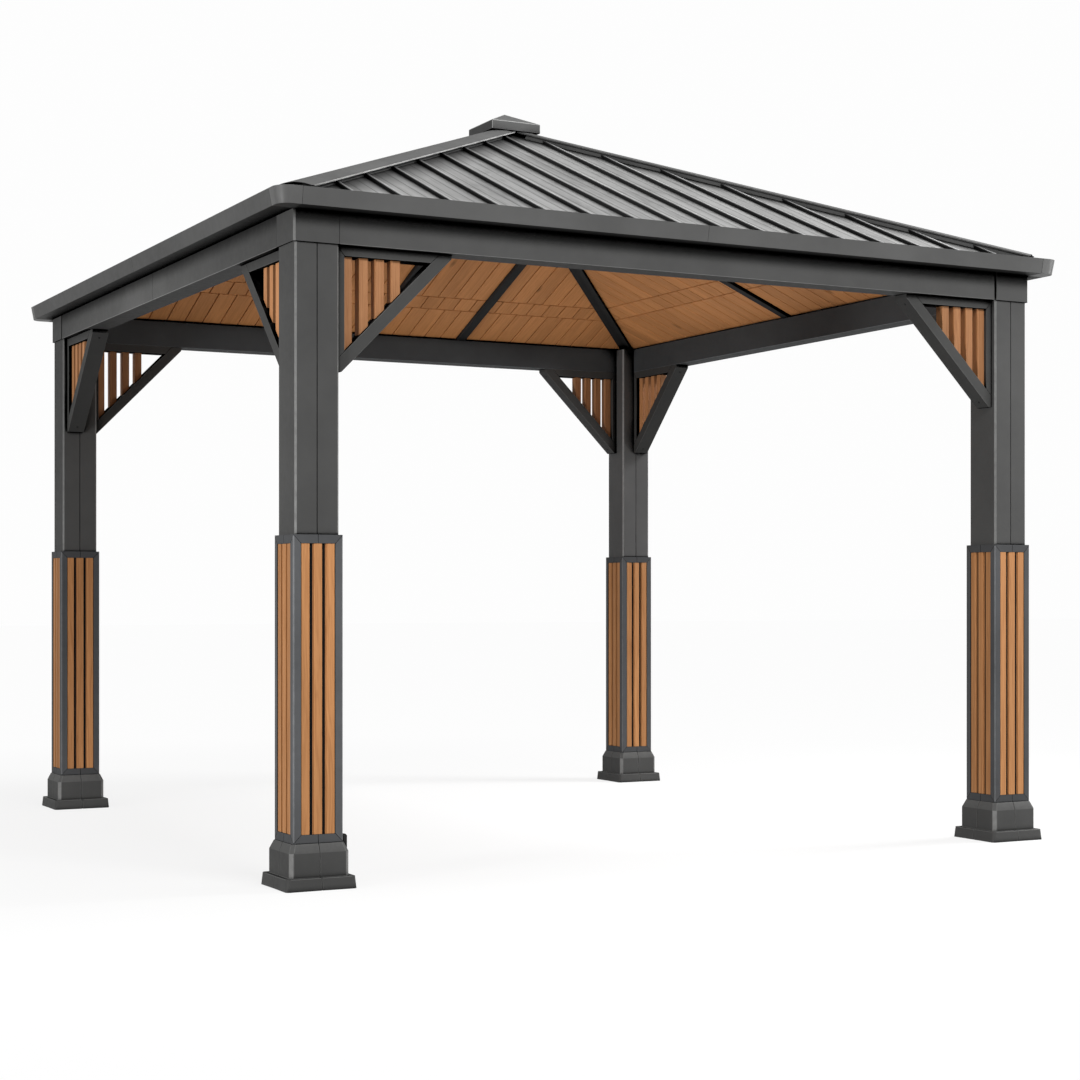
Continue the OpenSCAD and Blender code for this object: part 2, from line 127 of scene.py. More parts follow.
# %% The floor
def seen_directly(shading):
    """1 for what the eye, a glossy surface or clear glass sees, and 0 for light that only bounces."""
    ray = node(shading, "LightPath").outputs
    seen = reckon(shading, "MAXIMUM", ray["Is Camera Ray"], ray["Is Glossy Ray"])
    return reckon(shading, "MAXIMUM", seen, ray["Is Transmission Ray"])

DIRECT_WHITE = 0.985
WHITER_FROM, WHITEST_FROM, NEAR_SHARE = 1.5, 5.5, 0.8
TINT_FOR_BOUNCES, TINT_SEEN = (0.3, 0.3, 0.3, 1), (0.88, 0.88, 0.88, 1)

def white_ground():
    """A sheet that looks white by itself, and more so further out, but still takes a shadow."""
    paint = new_finish("white_ground")
    paint.node_tree.nodes.clear()
    seen = seen_directly(paint)
    away = node(paint, "VectorMath", {"operation": "LENGTH"}, _0=whereabouts(paint)).outputs["Value"]
    share = times(paint, seen, ramp(paint, away, WHITER_FROM, WHITEST_FROM, NEAR_SHARE, DIRECT_WHITE))
    painted = node(paint, "BsdfDiffuse", Color=mixed(paint, seen, TINT_FOR_BOUNCES, TINT_SEEN))
    bright = node(paint, "Emission", Color=(1, 1, 1, 1), Strength=DIRECT_WHITE)
    both = node(paint, "MixShader", _0=share, _1=painted.outputs[0], _2=bright.outputs[0])
    node(paint, "OutputMaterial", Surface=both.outputs[0])
    return paint

def lay_floor(half):
    """A large flat sheet at ground level."""
    sheet = bmesh.new()
    bmesh.ops.create_grid(sheet, x_segments=1, y_segments=1, size=half)
    data = bpy.data.meshes.new("floor")
    sheet.to_mesh(data)
    floor = add_object("floor", data)
    data.materials.append(white_ground())
    return floor

floor = lay_floor(60)
print("floor:", tuple(round(side) for side in floor.dimensions))

# %% The sky
def soft_sky(strength):
    """An even white sky, dimmer as a lamp than it looks."""
    world = bpy.data.worlds.new("soft_sky")
    bpy.context.scene.world = world
    world.use_nodes = True
    world.node_tree.nodes.clear()
    level = ramp(world, seen_directly(world), 0.0, 1.0, strength, DIRECT_WHITE)
    sky = node(world, "Background", Color=(1, 1, 1, 1), Strength=level)
    node(world, "OutputWorld", Surface=sky.outputs[0])

SKY_LIGHT = 0.36
soft_sky(SKY_LIGHT)
bpy.context.scene.view_settings.view_transform = "Standard"
print("sky as a lamp:", SKY_LIGHT, "and seen directly:", DIRECT_WHITE)

# %% The lamps
def softbox(name, place, aim, size, power):
    """A square lamp with soft edges, pointed at a spot."""
    lamp = add_object(name, bpy.data.lights.new(name, "AREA"))
    lamp.data.shape = "RECTANGLE"
    lamp.data.size, lamp.data.size_y = size
    lamp.data.energy = power
    lamp.location = place
    lamp.rotation_euler = (Vector(aim) - Vector(place)).to_track_quat("-Z", "Y").to_euler()
    return lamp

lamps = [softbox("near_strip", (-8.1, -4.1, 1.2), (0, -0.9, 1.7), (0.7, 2.2), 285),
         softbox("far_strip", (-8.3, -0.3, 1.2), (0, 0.8, 1.7), (0.7, 2.2), 100),
         softbox("front_lamp", (0.2, -9.5, 6.5), (0, 0, 1.6), (5, 2.5), 790),
         softbox("low_side_lamp", (5.5, -3.5, 1.8), (0.9, 1.0, 1.5), (1.2, 0.7), 110),
         softbox("roof_lamp", (7.0, -1.5, 7.5), (0, 0, 2.6), (2.5, 2.5), 900)]
print("lamps:", [lamp.name for lamp in lamps])

# %% [markdown]
# ## Powder coat
# Metal garden buildings are powder coated: a satin plastic skin, baked on, with a fine orange-peel
# surface. It isn't metallic, so it is a dark colour under a soft gloss. The colour drifts a little over
# a length of tube. Bevels and cut edges are lighter and smoother, partly from wear and partly as a
# painted highlight. Painted shade darkens the coat and dulls its gloss wherever another piece stands
# close, as under the gutter, and undersides get painted shade too. On faces that look left the painted
# corner shade is lifted. A paint can also have a darker left side, as painted shade.

# %% What a finish can follow
SQUARE_ON, ASKEW = -0.95, -0.6
print("a face counts as turned fully to a side up to", SQUARE_ON, "and not at all from", ASKEW)

def scaled(material, colour, level):
    """A colour made level times as light."""
    return node(material, "VectorMath", {"operation": "SCALE"}, _0=colour, Scale=level).outputs[0]

def dimmed(material, level, value, start, end, low, high):
    """A level times low where value is start or less, and times high where it is end or more."""
    return times(material, level, ramp(material, value, start, end, low, high))

def noise(material, place, scale, detail, roughness=0.5, distortion=0.0):
    """Soft noise between 0 and 1."""
    return node(material, "TexNoise", Vector=place, Scale=scale, Detail=detail, Roughness=roughness,
                Distortion=distortion).outputs["Fac"]

def noted(material, name, kind="Fac"):
    """What a mesh notes under this name for its points or faces."""
    return node(material, "Attribute", {"attribute_name": name}).outputs[kind]

def by_facing(material, axis, facing, others):
    """One value on faces that look to the axis's minus side, and another on the rest."""
    normal = node(material, "SeparateXYZ", _0=node(material, "NewGeometry").outputs["Normal"])
    return ramp(material, normal.outputs[axis], SQUARE_ON, ASKEW, facing, others)

def openness(material, reach):
    """1 out in the open, and less where other surfaces stand within reach."""
    return node(material, "AmbientOcclusion", {"samples": 8}, Distance=reach).outputs["AO"]

def shade_with(finish, **sockets):
    """Lead a finish's colour, roughness and so on into its main shader."""
    plug(finish, finish.node_tree.nodes["Principled BSDF"], **sockets)
    return finish

# %% A powder coat of any colour
# How much the painted corner shade is lifted on faces that look left.
LEFT_SHADE_LIFT = 0.32
DRIFT_SCALE, DUST_SCALE, PEEL_SCALE = 2.3, 38.0, 420.0
DRIFT, NOISE_SPAN, CORNER_SHADE_SPAN = (0.84, 1.16), (0.3, 0.7), (0.64, 0.8)

def powder_coat(name, colour, roughness=0.68, peel=0.12, gloss=0.1, edge=2.6, corner_shade=0.0, reach=0.1,
                left=1.0, below=0.42):
    """Coated metal. Edges are edge times lighter, partly wear and partly a painted highlight, and corners
    within reach of others get painted shade.

    The side that faces left is left times as light as the others, and an underside below times, both as
    painted shade."""
    paint = new_finish(name)
    place = whereabouts(paint)
    drift = noise(paint, place, DRIFT_SCALE, 4.0, 0.6)
    dust = noise(paint, place, DUST_SCALE, 3.0, 0.7)
    dark, light = [tuple(c * share for c in colour) + (1,) for share in DRIFT]
    shade = mixed(paint, ramp(paint, drift, *NOISE_SPAN, 0.0, 1.0), dark, light)
    # Marked faces are painted edge times lighter: partly wear, partly a painted highlight on bevels and
    # rounds.
    worn_and_lit = dimmed(paint, noted(paint, "edge"), dust, 0.25, 0.6, 0.6, 1.0)
    shade = scaled(paint, shade, ramp(paint, worn_and_lit, 0.0, 1.0, 1.0, edge))
    # Painted shade: faces that look down are made below times as light.
    shade = scaled(paint, shade, by_facing(paint, "Z", below, 1.0))
    # Painted shade: faces that look left are made left times as light.
    shade = scaled(paint, shade, by_facing(paint, "X", left, 1.0))
    # Painted shade: the colour is darkened and the gloss dulled where other surfaces stand within reach, less
    # so on faces that look left.
    unshaded = reckon(paint, "ADD", openness(paint, reach), by_facing(paint, "X", LEFT_SHADE_LIFT, 0.0))
    unshaded = ramp(paint, unshaded, *CORNER_SHADE_SPAN, corner_shade, 1.0)
    rough = ramp(paint, dust, *NOISE_SPAN, roughness - 0.05, roughness + 0.06)
    rough = dimmed(paint, rough, worn_and_lit, 0.0, 1.0, 1.0, 0.45)
    rough = node(paint, "Math", {"operation": "MULTIPLY", "use_clamp": True}, _0=rough,
                 _1=ramp(paint, unshaded, 0.0, 1.0, 1.6, 1.0))
    bump = node(paint, "Bump", Strength=peel, Distance=0.0006, Height=noise(paint, place, PEEL_SCALE, 2.0))
    return shade_with(paint, Base_Color=scaled(paint, shade, unshaded), Roughness=rough.outputs[0],
                      Normal=bump.outputs[0], Specular_IOR_Level=times(paint, unshaded, gloss))

CHARCOAL = (0.060, 0.060, 0.059)

# The rear and right beams get a darker, colder copy of the coat, as painted shade. The rear right post
# gets a lighter copy, as painted light, and the rear left one painted shade on its left side.
# Every coat here has the painted corner shade and the painted darker undersides of powder_coat.
frame_paint = powder_coat("frame_paint", CHARCOAL)
shaded_frame_paint = powder_coat("shaded_frame_paint", (0.048, 0.052, 0.055))
lit_frame_paint = powder_coat("lit_frame_paint", (0.078, 0.078, 0.078))
left_shaded_paint = powder_coat("left_shaded_paint", CHARCOAL, left=0.72)
jacket_paint = powder_coat("jacket_paint", (0.050, 0.051, 0.053))
# A lighter copy of the jacket coat for the front left post, as painted light.
lit_jacket_paint = powder_coat("lit_jacket_paint", (0.063, 0.0645, 0.067))
# Base covers: marked faces painted lighter, partly wear and partly painted light, with milder painted shade
# close to other surfaces.
base_paint = powder_coat("base_paint", (0.053, 0.053, 0.052), peel=0.2, edge=3.4, reach=0.03, corner_shade=0.4)
brace_paint = powder_coat("brace_paint", (0.045, 0.045, 0.044))
rafter_paint = powder_coat("rafter_paint", (0.035, 0.035, 0.035))
# Gutters: painted shade on faces that look left, and a very dark painted underside.
gutter_paint = powder_coat("gutter_paint", (0.075, 0.075, 0.074), roughness=0.6, gloss=0.15, left=0.86,
                           below=0.12)
# The bends get a slightly darker, glossier copy of the gutter coat; the darker colour is painted shade.
shaded_bend_paint = powder_coat("shaded_bend_paint", (0.068, 0.068, 0.067), roughness=0.45, gloss=0.3)
# Hip caps: hem faces painted much lighter, as a painted highlight.
cap_paint = powder_coat("cap_paint", (0.085, 0.085, 0.084), roughness=0.7, edge=5.0)
catch_paint = powder_coat("catch_paint", (0.02, 0.02, 0.02))
closure_paint = powder_coat("closure_paint", (0.10, 0.10, 0.099), corner_shade=0.6)
# Peak cap: painted shade on its left faces and its rounds painted lighter as a painted highlight.
peak_paint = powder_coat("peak_paint", (0.092, 0.092, 0.091), roughness=0.6, edge=3.6, left=0.55)
print("powder coats:", [paint.name for paint in bpy.data.materials if "paint" in paint.name])

# %% [markdown]
# ## Rounding what was drawn sharp
# No bent or extruded edge is truly sharp, and the narrow round of an edge is what catches the light
# along a post. The solids come in as triangles, so they are first merged back into whole flat faces.
# Then every edge between two wide faces is eased with a small two-step round. Edges of fine grooves
# are left alone, since a round as wide as the groove would close it. Each face also carries a number
# that says how much lighter it is painted, partly for wear and partly as a painted highlight or painted
# light, and the coat reads it.

# %% Setting up a finished mesh as a piece
def set_piece(name, data, paint, stands_for=()):
    """Put a finished mesh in the scene, coat it, and let it stand for its solids."""
    piece = add_object(name, data)
    data.materials.append(paint)
    data.polygons.foreach_set("use_smooth", [True] * len(data.polygons))
    weigh = piece.modifiers.new("weighted_normals", "WEIGHTED_NORMAL")
    weigh.weight = 100
    weigh.keep_sharp = True
    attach(piece, "root")
    if stands_for:
        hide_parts(*stands_for)
    return piece

# %% Copying and easing a solid
SHORTEST_BEVEL, SHORTEST_HEM = 0.08, 0.5
SAME_POINT, FLAT, FOLDED, BENT, SHARP = 2e-5, radians(0.6), radians(15), radians(25), radians(40)
SLOPING, UPRIGHT = (0.2, 0.6), 0.7

def longest(face):
    """The length of a face's longest edge."""
    return max(edge.calc_length() for edge in face.edges)

def width(face):
    """A face's width across its longest edge."""
    return face.calc_area() / longest(face)

def mark_wear_and_highlights(stock, widest, slope_light=0.0):
    """Note bevels, which are faces narrower than widest between two wider ones, to be painted lighter, partly
    wear and partly a painted highlight, and upward facets, to be painted lighter as painted light.
    """
    edge = stock.faces.layers.float.new("edge")
    for face in stock.faces:
        # Upward facets are noted to be painted lighter, as painted light.
        face[edge] = slope_light if SLOPING[0] < face.normal.z < SLOPING[1] else 0.0
        if width(face) > widest or longest(face) < SHORTEST_BEVEL:
            continue
        bends = [e for e in face.edges if e.calc_length() > SHORTEST_BEVEL and len(e.link_faces) == 2
                 and e.is_convex and e.calc_face_angle(0) > FOLDED]
        if len(bends) > 1:
            # Bevel faces are noted to be painted lighter, partly wear and partly a painted highlight.
            face[edge] = 1.0
    return stock

def mark_hem_highlights(stock, widest):
    """Note the cut upright face along the lap side of each strip, to be painted lighter as a painted
    highlight.
    """
    edge = stock.faces.layers.float.new("edge")
    for face in stock.faces:
        lap_side = face.calc_center_median().cross(face.normal).z > 0
        upright = abs(face.normal.z) < UPRIGHT
        if lap_side and upright and longest(face) > SHORTEST_HEM and width(face) < widest:
            face[edge] = 1.0
    return stock

def whole_faces(name, reshape=None):
    """A copy of a solid's mesh with its triangles merged into whole flat faces."""
    copy = bmesh.new()
    copy.from_mesh(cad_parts[name].data)
    if reshape:
        reshape(copy, sum(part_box(name), Vector()) / 2)
    bmesh.ops.remove_doubles(copy, verts=copy.verts, dist=SAME_POINT)
    bmesh.ops.dissolve_limit(copy, angle_limit=FLAT, verts=copy.verts, edges=copy.edges)
    return copy

def ease(stock, radius, narrowest=3.0, rub=0.0, wear_and_highlight_from=0.2):
    """Round every edge between two faces wider than a few times the radius, and note the long rounds to be
    painted lighter, partly wear and partly a painted highlight.
    """
    mark = stock.faces.layers.float.get("edge") or stock.faces.layers.float.new("edge")
    wide = {face: width(face) > narrowest * radius for face in stock.faces}
    edges = [edge for edge in stock.edges if len(edge.link_faces) == 2
             and edge.calc_face_angle(0) > BENT and all(wide[f] for f in edge.link_faces)]
    rounds = bmesh.ops.bevel(stock, geom=edges, offset=radius, offset_type="OFFSET", segments=2,
                             profile=0.5, affect="EDGES", clamp_overlap=False)["faces"]
    # Long rounds are noted to be painted lighter, partly wear and partly a painted highlight.
    for face in rounds if rub else ():
        if longest(face) > wear_and_highlight_from:
            face[mark] = rub
    for edge in stock.edges:
        edge.smooth = edge.calc_face_angle(0) < SHARP
    return stock

def eased_copy(solid, radius, paint, lower=0.0, bevels=0.0, slope_light=0.0, hem_highlights=0.0, rub=0.0,
               reshape=None):
    """A rounded piece that stands for one solid. bevels, upward facets, hem faces and rounds can be noted to
    be painted lighter: partly wear and partly a painted highlight, and upward facets as painted light.
    """
    copy = whole_faces(solid, reshape)
    if bevels:
        mark_wear_and_highlights(copy, bevels, slope_light)
    if hem_highlights:
        mark_hem_highlights(copy, hem_highlights)
    copy = ease(copy, radius, rub=rub, wear_and_highlight_from=0.02)
    for point in copy.verts:
        point.co.z -= lower
    data = bpy.data.meshes.new(solid + "_piece")
    copy.to_mesh(data)
    copy.free()
    return set_piece(solid + "_piece", data, paint, [solid])

print("a face shorter than", SHORTEST_BEVEL, "m is never marked as a bevel")

# %% [markdown]
# ## Posts and their covers
# A post is two halves clipped together, so its front and rear show a slot between the halves, while its
# other two faces are whole. The solids have the same fine groove on all four faces, and moving its few
# points is the simplest way to close two of them and open the others. A base cover is cast with sloped
# shoulders, which are painted lighter as painted light. A cover on each post's head hides the ends of
# the beams.

# %% Posts, head covers, base covers and hub
CORNERS = ["front_left", "front_right", "rear_right", "rear_left"]
SIDES = ["front", "right", "rear", "left"]
POST_HALF = 0.08
GROOVE_HALF, GROOVE_DEEP, JOINT_HALF, JOINT_DEEP = 0.0012, 0.002, 0.0013, 0.004

def two_joints(stock, centre):
    """Close the grooves on a post's left and right faces, and open those on its front and rear."""
    for point in stock.verts:
        across, out = point.co.x - centre.x, point.co.y - centre.y
        if abs(out) < GROOVE_HALF and abs(across) > POST_HALF - GROOVE_DEEP:
            point.co.x = centre.x + copysign(POST_HALF, across)
        elif abs(across) < GROOVE_HALF and abs(out) > POST_HALF - GROOVE_DEEP:
            point.co.x = centre.x + copysign(JOINT_HALF, across)
            if abs(out) < POST_HALF - GROOVE_DEEP / 4:
                point.co.y = centre.y + copysign(POST_HALF - JOINT_DEEP, out)

# Bevels and rounds are painted lighter, partly wear and partly a painted highlight, and the base covers'
# sloped shoulders lighter as painted light.
for corner in CORNERS:
    paint = {"rear_right": lit_frame_paint, "rear_left": left_shaded_paint}.get(corner, frame_paint)
    eased_copy(corner + "_post", 0.0012, paint, bevels=0.012, reshape=two_joints)
    eased_copy(corner + "_base_cover", 0.0016, base_paint, bevels=0.02, slope_light=0.22, rub=0.45)
eased_copy("post_head_covers", 0.0006, frame_paint, bevels=0.012)
eased_copy("roof_hub", 0.003, rafter_paint)

# %% [markdown]
# ## Rafters, caps and gutters
# Rafters are plain dark bars. A hip cap is bent sheet that laps over the seams on both sides of a hip,
# and it is pressed down on them, so it stands a little lower than its solid. The cut edge along its lap
# side is painted pale, as a painted highlight. Gutters are rolled from one strip, so their edges are
# tight rounds.

# %% Rafters, caps and gutters
CAP_DROP, BAR_ROUND, STRIP_ROUND = 0.005, 0.002, 0.0007
eased_copy("hip_rafters", BAR_ROUND, rafter_paint)
eased_copy("common_rafters", BAR_ROUND, rafter_paint)
# The hip caps' hem faces and the peak cap's rounds are painted lighter, as a painted highlight.
eased_copy("hip_caps", 0.0008, cap_paint, lower=CAP_DROP, hem_highlights=0.008)
eased_copy("peak_cap", 0.0025, peak_paint, rub=1.0)
for side in SIDES:
    eased_copy(side + "_gutter", STRIP_ROUND, gutter_paint)
eased_copy("gutter_corners", STRIP_ROUND, shaded_bend_paint)
print("hip caps let down by:", CAP_DROP, "m")

# %% [markdown]
# ## Sawn members
# Braces, panel frames, slats and boards are all cut from straight stock, so they are made here as a
# joiner makes them: a block of stock, sawn by planes, with its edges eased afterwards. A mitre or a
# slanting end is just one more saw cut, and the fine dark line of a real joint comes by itself where
# two eased ends meet. Every board also carries its own grain: its three numbers say how far a point lies
# across, along and into the board, moved by a different amount for each, so that no two look alike.

# %% A block, a saw and a bench to collect the work
def block(low, high):
    """A block of stock between two opposite corners."""
    stock = bmesh.new()
    bmesh.ops.create_cube(stock, size=1)
    for corner in stock.verts:
        corner.co = Vector([a + (b - a) * (c + 0.5) for a, b, c in zip(low, high, corner.co)])
    return stock

def saw(stock, point, away):
    """Cut off what lies beyond a plane through point, on the side that away points to."""
    everything = stock.verts[:] + stock.edges[:] + stock.faces[:]
    cut = bmesh.ops.bisect_plane(stock, geom=everything, dist=1e-7, plane_co=point, plane_no=away,
                                 clear_outer=True)["geom_cut"]
    rim = [part for part in cut if isinstance(part, bmesh.types.BMEdge)]
    if len(rim) > 2:
        bmesh.ops.edgeloop_fill(stock, edges=rim)
    return stock

class Bench:
    """Collects sawn stock into one mesh, with the grain and tone of every point."""

    def __init__(self, seed):
        self.points, self.faces, self.grain, self.tone, self.sharp, self.edge = [], [], [], [], [], []
        self.pick = random.Random(seed)
        self.count = 0

    def add(self, stock, easing=0.0, along=(0, 0, 1), across=(1, 0, 0), turn=None, rub=0.0):
        """Ease a member, note its grain, turn it to its place and keep it."""
        if not stock.faces:
            stock.free()
            return
        if easing:
            ease(stock, easing, narrowest=1.5, rub=rub)
        along, across = Vector(along).normalized(), Vector(across).normalized()
        shift = Vector([self.pick.uniform(-9, 9) for _ in range(3)])
        tone = self.pick.random()
        first = len(self.points)
        stock.verts.index_update()
        for point in stock.verts:
            co = point.co
            self.grain.append(Vector((co.dot(across), co.dot(along), co.dot(across.cross(along)))) + shift)
            self.tone.append(tone)
            self.points.append(turn @ co if turn else co.copy())
        self.faces += [[first + point.index for point in face.verts] for face in stock.faces]
        mark = stock.faces.layers.float.get("edge")
        self.edge += [face[mark] if mark else 0.0 for face in stock.faces]
        self.sharp += [tuple(first + v.index for v in e.verts) for e in stock.edges if not e.smooth]
        self.count += 1
        stock.free()

    def set_up(self, name, paint, slot, stands_for=()):
        """Set up the collected members in the scene as one piece."""
        data = bpy.data.meshes.new(name)
        data.from_pydata(self.points, [], self.faces)
        hard = {tuple(sorted(pair)) for pair in self.sharp}
        sharp = [tuple(sorted(edge.vertices)) in hard for edge in data.edges]
        grain = [value for point in self.grain for value in point]
        for note, kind, domain, values in (("grain", "FLOAT_VECTOR", "POINT", grain),
                                           ("tone", "FLOAT", "POINT", self.tone),
                                           ("edge", "FLOAT", "FACE", self.edge),
                                           ("sharp_edge", "BOOLEAN", "EDGE", sharp)):
            notes = data.attributes.new(note, kind, domain)
            notes.data.foreach_set("vector" if kind == "FLOAT_VECTOR" else "value", values)
        return set_piece(name, data, paint, stands_for)

def quarter(count):
    """A turn about the middle of the plan, by so many quarters."""
    return Matrix.Rotation(count * pi / 2, 4, "Z")

print("one quarter turn moves the front to the", SIDES[1])

# %% [markdown]
# ## Wood
# The slats and boards are oiled softwood. Its look has three scales: a broad drift of tone along each
# board, darker late-wood lines a few millimetres apart that wander as they run, and very fine pores.
# All three are noise stretched along the board, so they need the board's own grain numbers and not its
# place in the building. Each board also gets a tone of its own, as boards from different trees do. The
# slats up in the braces get a darker copy of the wood, as painted shade, and their faces that look left
# are painted lighter, as painted light. Eased edges are painted lighter, as a painted highlight.

# %% A wood of any colour
def stretched(material, place, scale):
    """A place with each of its three numbers made larger or smaller."""
    return node(material, "Mapping", Vector=place, Scale=scale).outputs[0]

def wood(name, pale, dark, line=0.55, roughness=0.62, knots=0.0, edge=1.5, left=1.0):
    """Oiled boards. pale is the early wood, dark the late-wood lines, left how much lighter a face that looks
    left is painted, as painted light.
    """
    timber = new_finish(name)
    place = noted(timber, "grain", "Vector")
    wander = node(timber, "TexNoise", Vector=stretched(timber, place, (9.0, 0.9, 9.0)), Scale=1.0,
                  Detail=3.0)
    moved = node(timber, "VectorMath", {"operation": "MULTIPLY_ADD"}, _0=wander.outputs["Color"],
                 _1=(14.0, 1.0, 14.0), _2=stretched(timber, place, (160.0, 2.4, 160.0)))
    lines = noise(timber, moved.outputs[0], 1.0, 4.0, 0.62)
    pores = noise(timber, stretched(timber, place, (900.0, 22.0, 900.0)), 1.0, 2.0)
    colour = mixed(timber, ramp(timber, lines, 0.42, 0.7, 0.0, line), pale + (1,), dark + (1,))
    level = ramp(timber, wander.outputs["Fac"], *NOISE_SPAN, 0.9, 1.1)
    level = dimmed(timber, level, noted(timber, "tone"), 0.0, 1.0, 0.9, 1.08)
    level = dimmed(timber, level, pores, *NOISE_SPAN, 0.94, 1.04)
    colour = scaled(timber, colour, level)
    if knots:
        cell = node(timber, "TexVoronoi", Vector=stretched(timber, place, (7.0, 2.6, 7.0)), Scale=1.0,
                    Randomness=1.0)
        colour = scaled(timber, colour, ramp(timber, cell.outputs["Distance"], 0.03, 0.12, 1.0 - knots, 1.0))
    # Noted faces are painted edge times as light, as a painted highlight.
    colour = scaled(timber, colour, ramp(timber, noted(timber, "edge"), 0.0, 1.0, 1.0, edge))
    bump = node(timber, "Bump", Strength=0.25, Distance=0.0008, Height=lines)
    # Faces that look left are painted left times as light, as painted light.
    return shade_with(timber, Base_Color=scaled(timber, colour, by_facing(timber, "X", left, 1.0)),
                      Roughness=ramp(timber, lines, *NOISE_SPAN, roughness - 0.06, roughness + 0.08),
                      Normal=bump.outputs[0], Specular_IOR_Level=0.18)

slat_wood = wood("slat_wood", (0.415, 0.192, 0.074), (0.225, 0.087, 0.027))
# A darker copy of the slat wood for the braces, as painted shade, with painted light on faces that look left.
shaded_brace_wood = wood("shaded_brace_wood", (0.324, 0.150, 0.064), (0.176, 0.068, 0.024), left=1.57)
ceiling_wood = wood("ceiling_wood", (0.64, 0.282, 0.104), (0.38, 0.144, 0.047), line=0.4, knots=0.5,
                    edge=1.8)
print("woods:", slat_wood.name, shaded_brace_wood.name, ceiling_wood.name)

# %% [markdown]
# ## Jackets
# The lower half of each post wears a jacket: a thin mitred frame on every face with three upright slats
# inside it. The frame's members are blocks sawn at the mitre, from the outer corner to the inner one,
# so the joint shows as a fine line. The rails are made in two halves. The stiles and the narrow corner
# bevels are painted a little lighter, partly wear and partly a painted highlight, and the whole front
# left jacket gets a lighter copy of the coat, as painted light. Neighbouring faces meet on the post's
# corner, where the stiles are sawn along the diagonal and the edge is cut back to a narrow bevel. Two
# slats in three have a thin lip along one edge that fills part of the slot beside it, and black felt
# closes what is left. Beside the front left cover stands a small catch.

# %% The frame on one face
JACKET_T, STILE_W, RAIL_H, JACKET_BEVEL, JACKET_ROUND = 0.0097, 0.028, 0.030, 0.004, 0.0007
# The last number is how much lighter the stiles are painted, partly wear and partly a painted highlight.
MITRE_GAP, RAIL_GAP, STILE_WEAR_AND_HIGHLIGHT = 0.0005, 0.0014, 0.16
low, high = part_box("front_left_jacket_frame")
post_centre = (low + high) / 2
post_centre.z = 0
half_w, jacket_low, jacket_high = (high.x - low.x) / 2, low.z, high.z
MITRE = Vector((RAIL_H, 0, STILE_W)).normalized() * MITRE_GAP

def jacket_member(kind):
    """One stile, or half a rail, of the face that looks to -Y, about the post's own centre."""
    face_y = (-half_w, -half_w + JACKET_T)
    inner = half_w - STILE_W
    if kind == "stile":
        stock = block((-half_w, face_y[0], jacket_low), (-inner, face_y[1], jacket_high))
        saw(stock, Vector((-half_w, 0, jacket_high)) - MITRE, (RAIL_H, 0, STILE_W))
        saw(stock, (-half_w - MITRE.x, 0, jacket_low + MITRE.z), (RAIL_H, 0, -STILE_W))
    else:
        stock = block((-half_w, face_y[0], jacket_high - RAIL_H), (-RAIL_GAP / 2, face_y[1], jacket_high))
        saw(stock, Vector((-half_w, 0, jacket_high)) + MITRE, (-RAIL_H, 0, -STILE_W))
    saw(stock, (-half_w, -half_w, 0), (-1, 1, 0))
    saw(stock, (JACKET_BEVEL - half_w, -half_w, 0), (-1, -1, 0))
    # Bevels, and the stiles a little, are noted to be painted lighter, partly wear and partly a painted
    # highlight.
    mark_wear_and_highlights(stock, JACKET_BEVEL)
    edge = stock.faces.layers.float["edge"]
    for face in stock.faces:
        face[edge] = max(face[edge], STILE_WEAR_AND_HIGHLIGHT if kind == "stile" else 0.0)
    return stock

print("jacket:", round(2 * half_w, 3), "m wide, up to", round(jacket_high, 3), "m")

# %% All four jackets
def mirrored(stock, plane):
    """Flip a member in place, left to right or top to bottom, keeping its faces outward."""
    for point in stock.verts:
        if plane == "x":
            point.co.x = -point.co.x
        else:
            point.co.z = jacket_low + jacket_high - point.co.z
    bmesh.ops.reverse_faces(stock, faces=stock.faces)
    return stock

def on_face(number, face):
    """From the middle of a post's plan, where its members are sawn, to a face of one of the posts."""
    return quarter(number) @ Matrix.Translation(post_centre) @ quarter(face)

JACKET_MEMBERS = (("stile", ""), ("stile", "x"), ("rail", ""), ("rail", "x"), ("rail", "z"), ("rail", "zx"))
for number, corner in enumerate(CORNERS):
    bench = Bench(11 + number)
    for face in range(4):
        for kind, planes in JACKET_MEMBERS:
            member = jacket_member(kind)
            for plane in planes:
                mirrored(member, plane)
            bench.add(member, JACKET_ROUND, turn=on_face(number, face))
    # The front left jacket gets the lighter copy of the coat, as painted light.
    paint = lit_jacket_paint if corner == "front_left" else jacket_paint
    bench.set_up(corner + "_jacket", paint, "frame_paint", [corner + "_jacket_frame"])
print("members in a jacket:", bench.count)

# %% The jackets' slats
SLATS_PER_FACE, SLAT_GAP, SLAT_SIDE, SLAT_ROUND = 3, 0.016, 0.002, 0.0014
FELT_T, FELT_PLAY, LIP_W, LIP_T = 0.0012, 0.0002, 0.0038, 0.002
lipless = (0, SLATS_PER_FACE - 1)
slat_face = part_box("front_left_jacket_slats")[0].y - post_centre.y
slat_back = -half_w + JACKET_T - FELT_PLAY
slat_w = (2 * (half_w - STILE_W) - 2 * SLAT_SIDE - (SLATS_PER_FACE - 1) * SLAT_GAP) / SLATS_PER_FACE

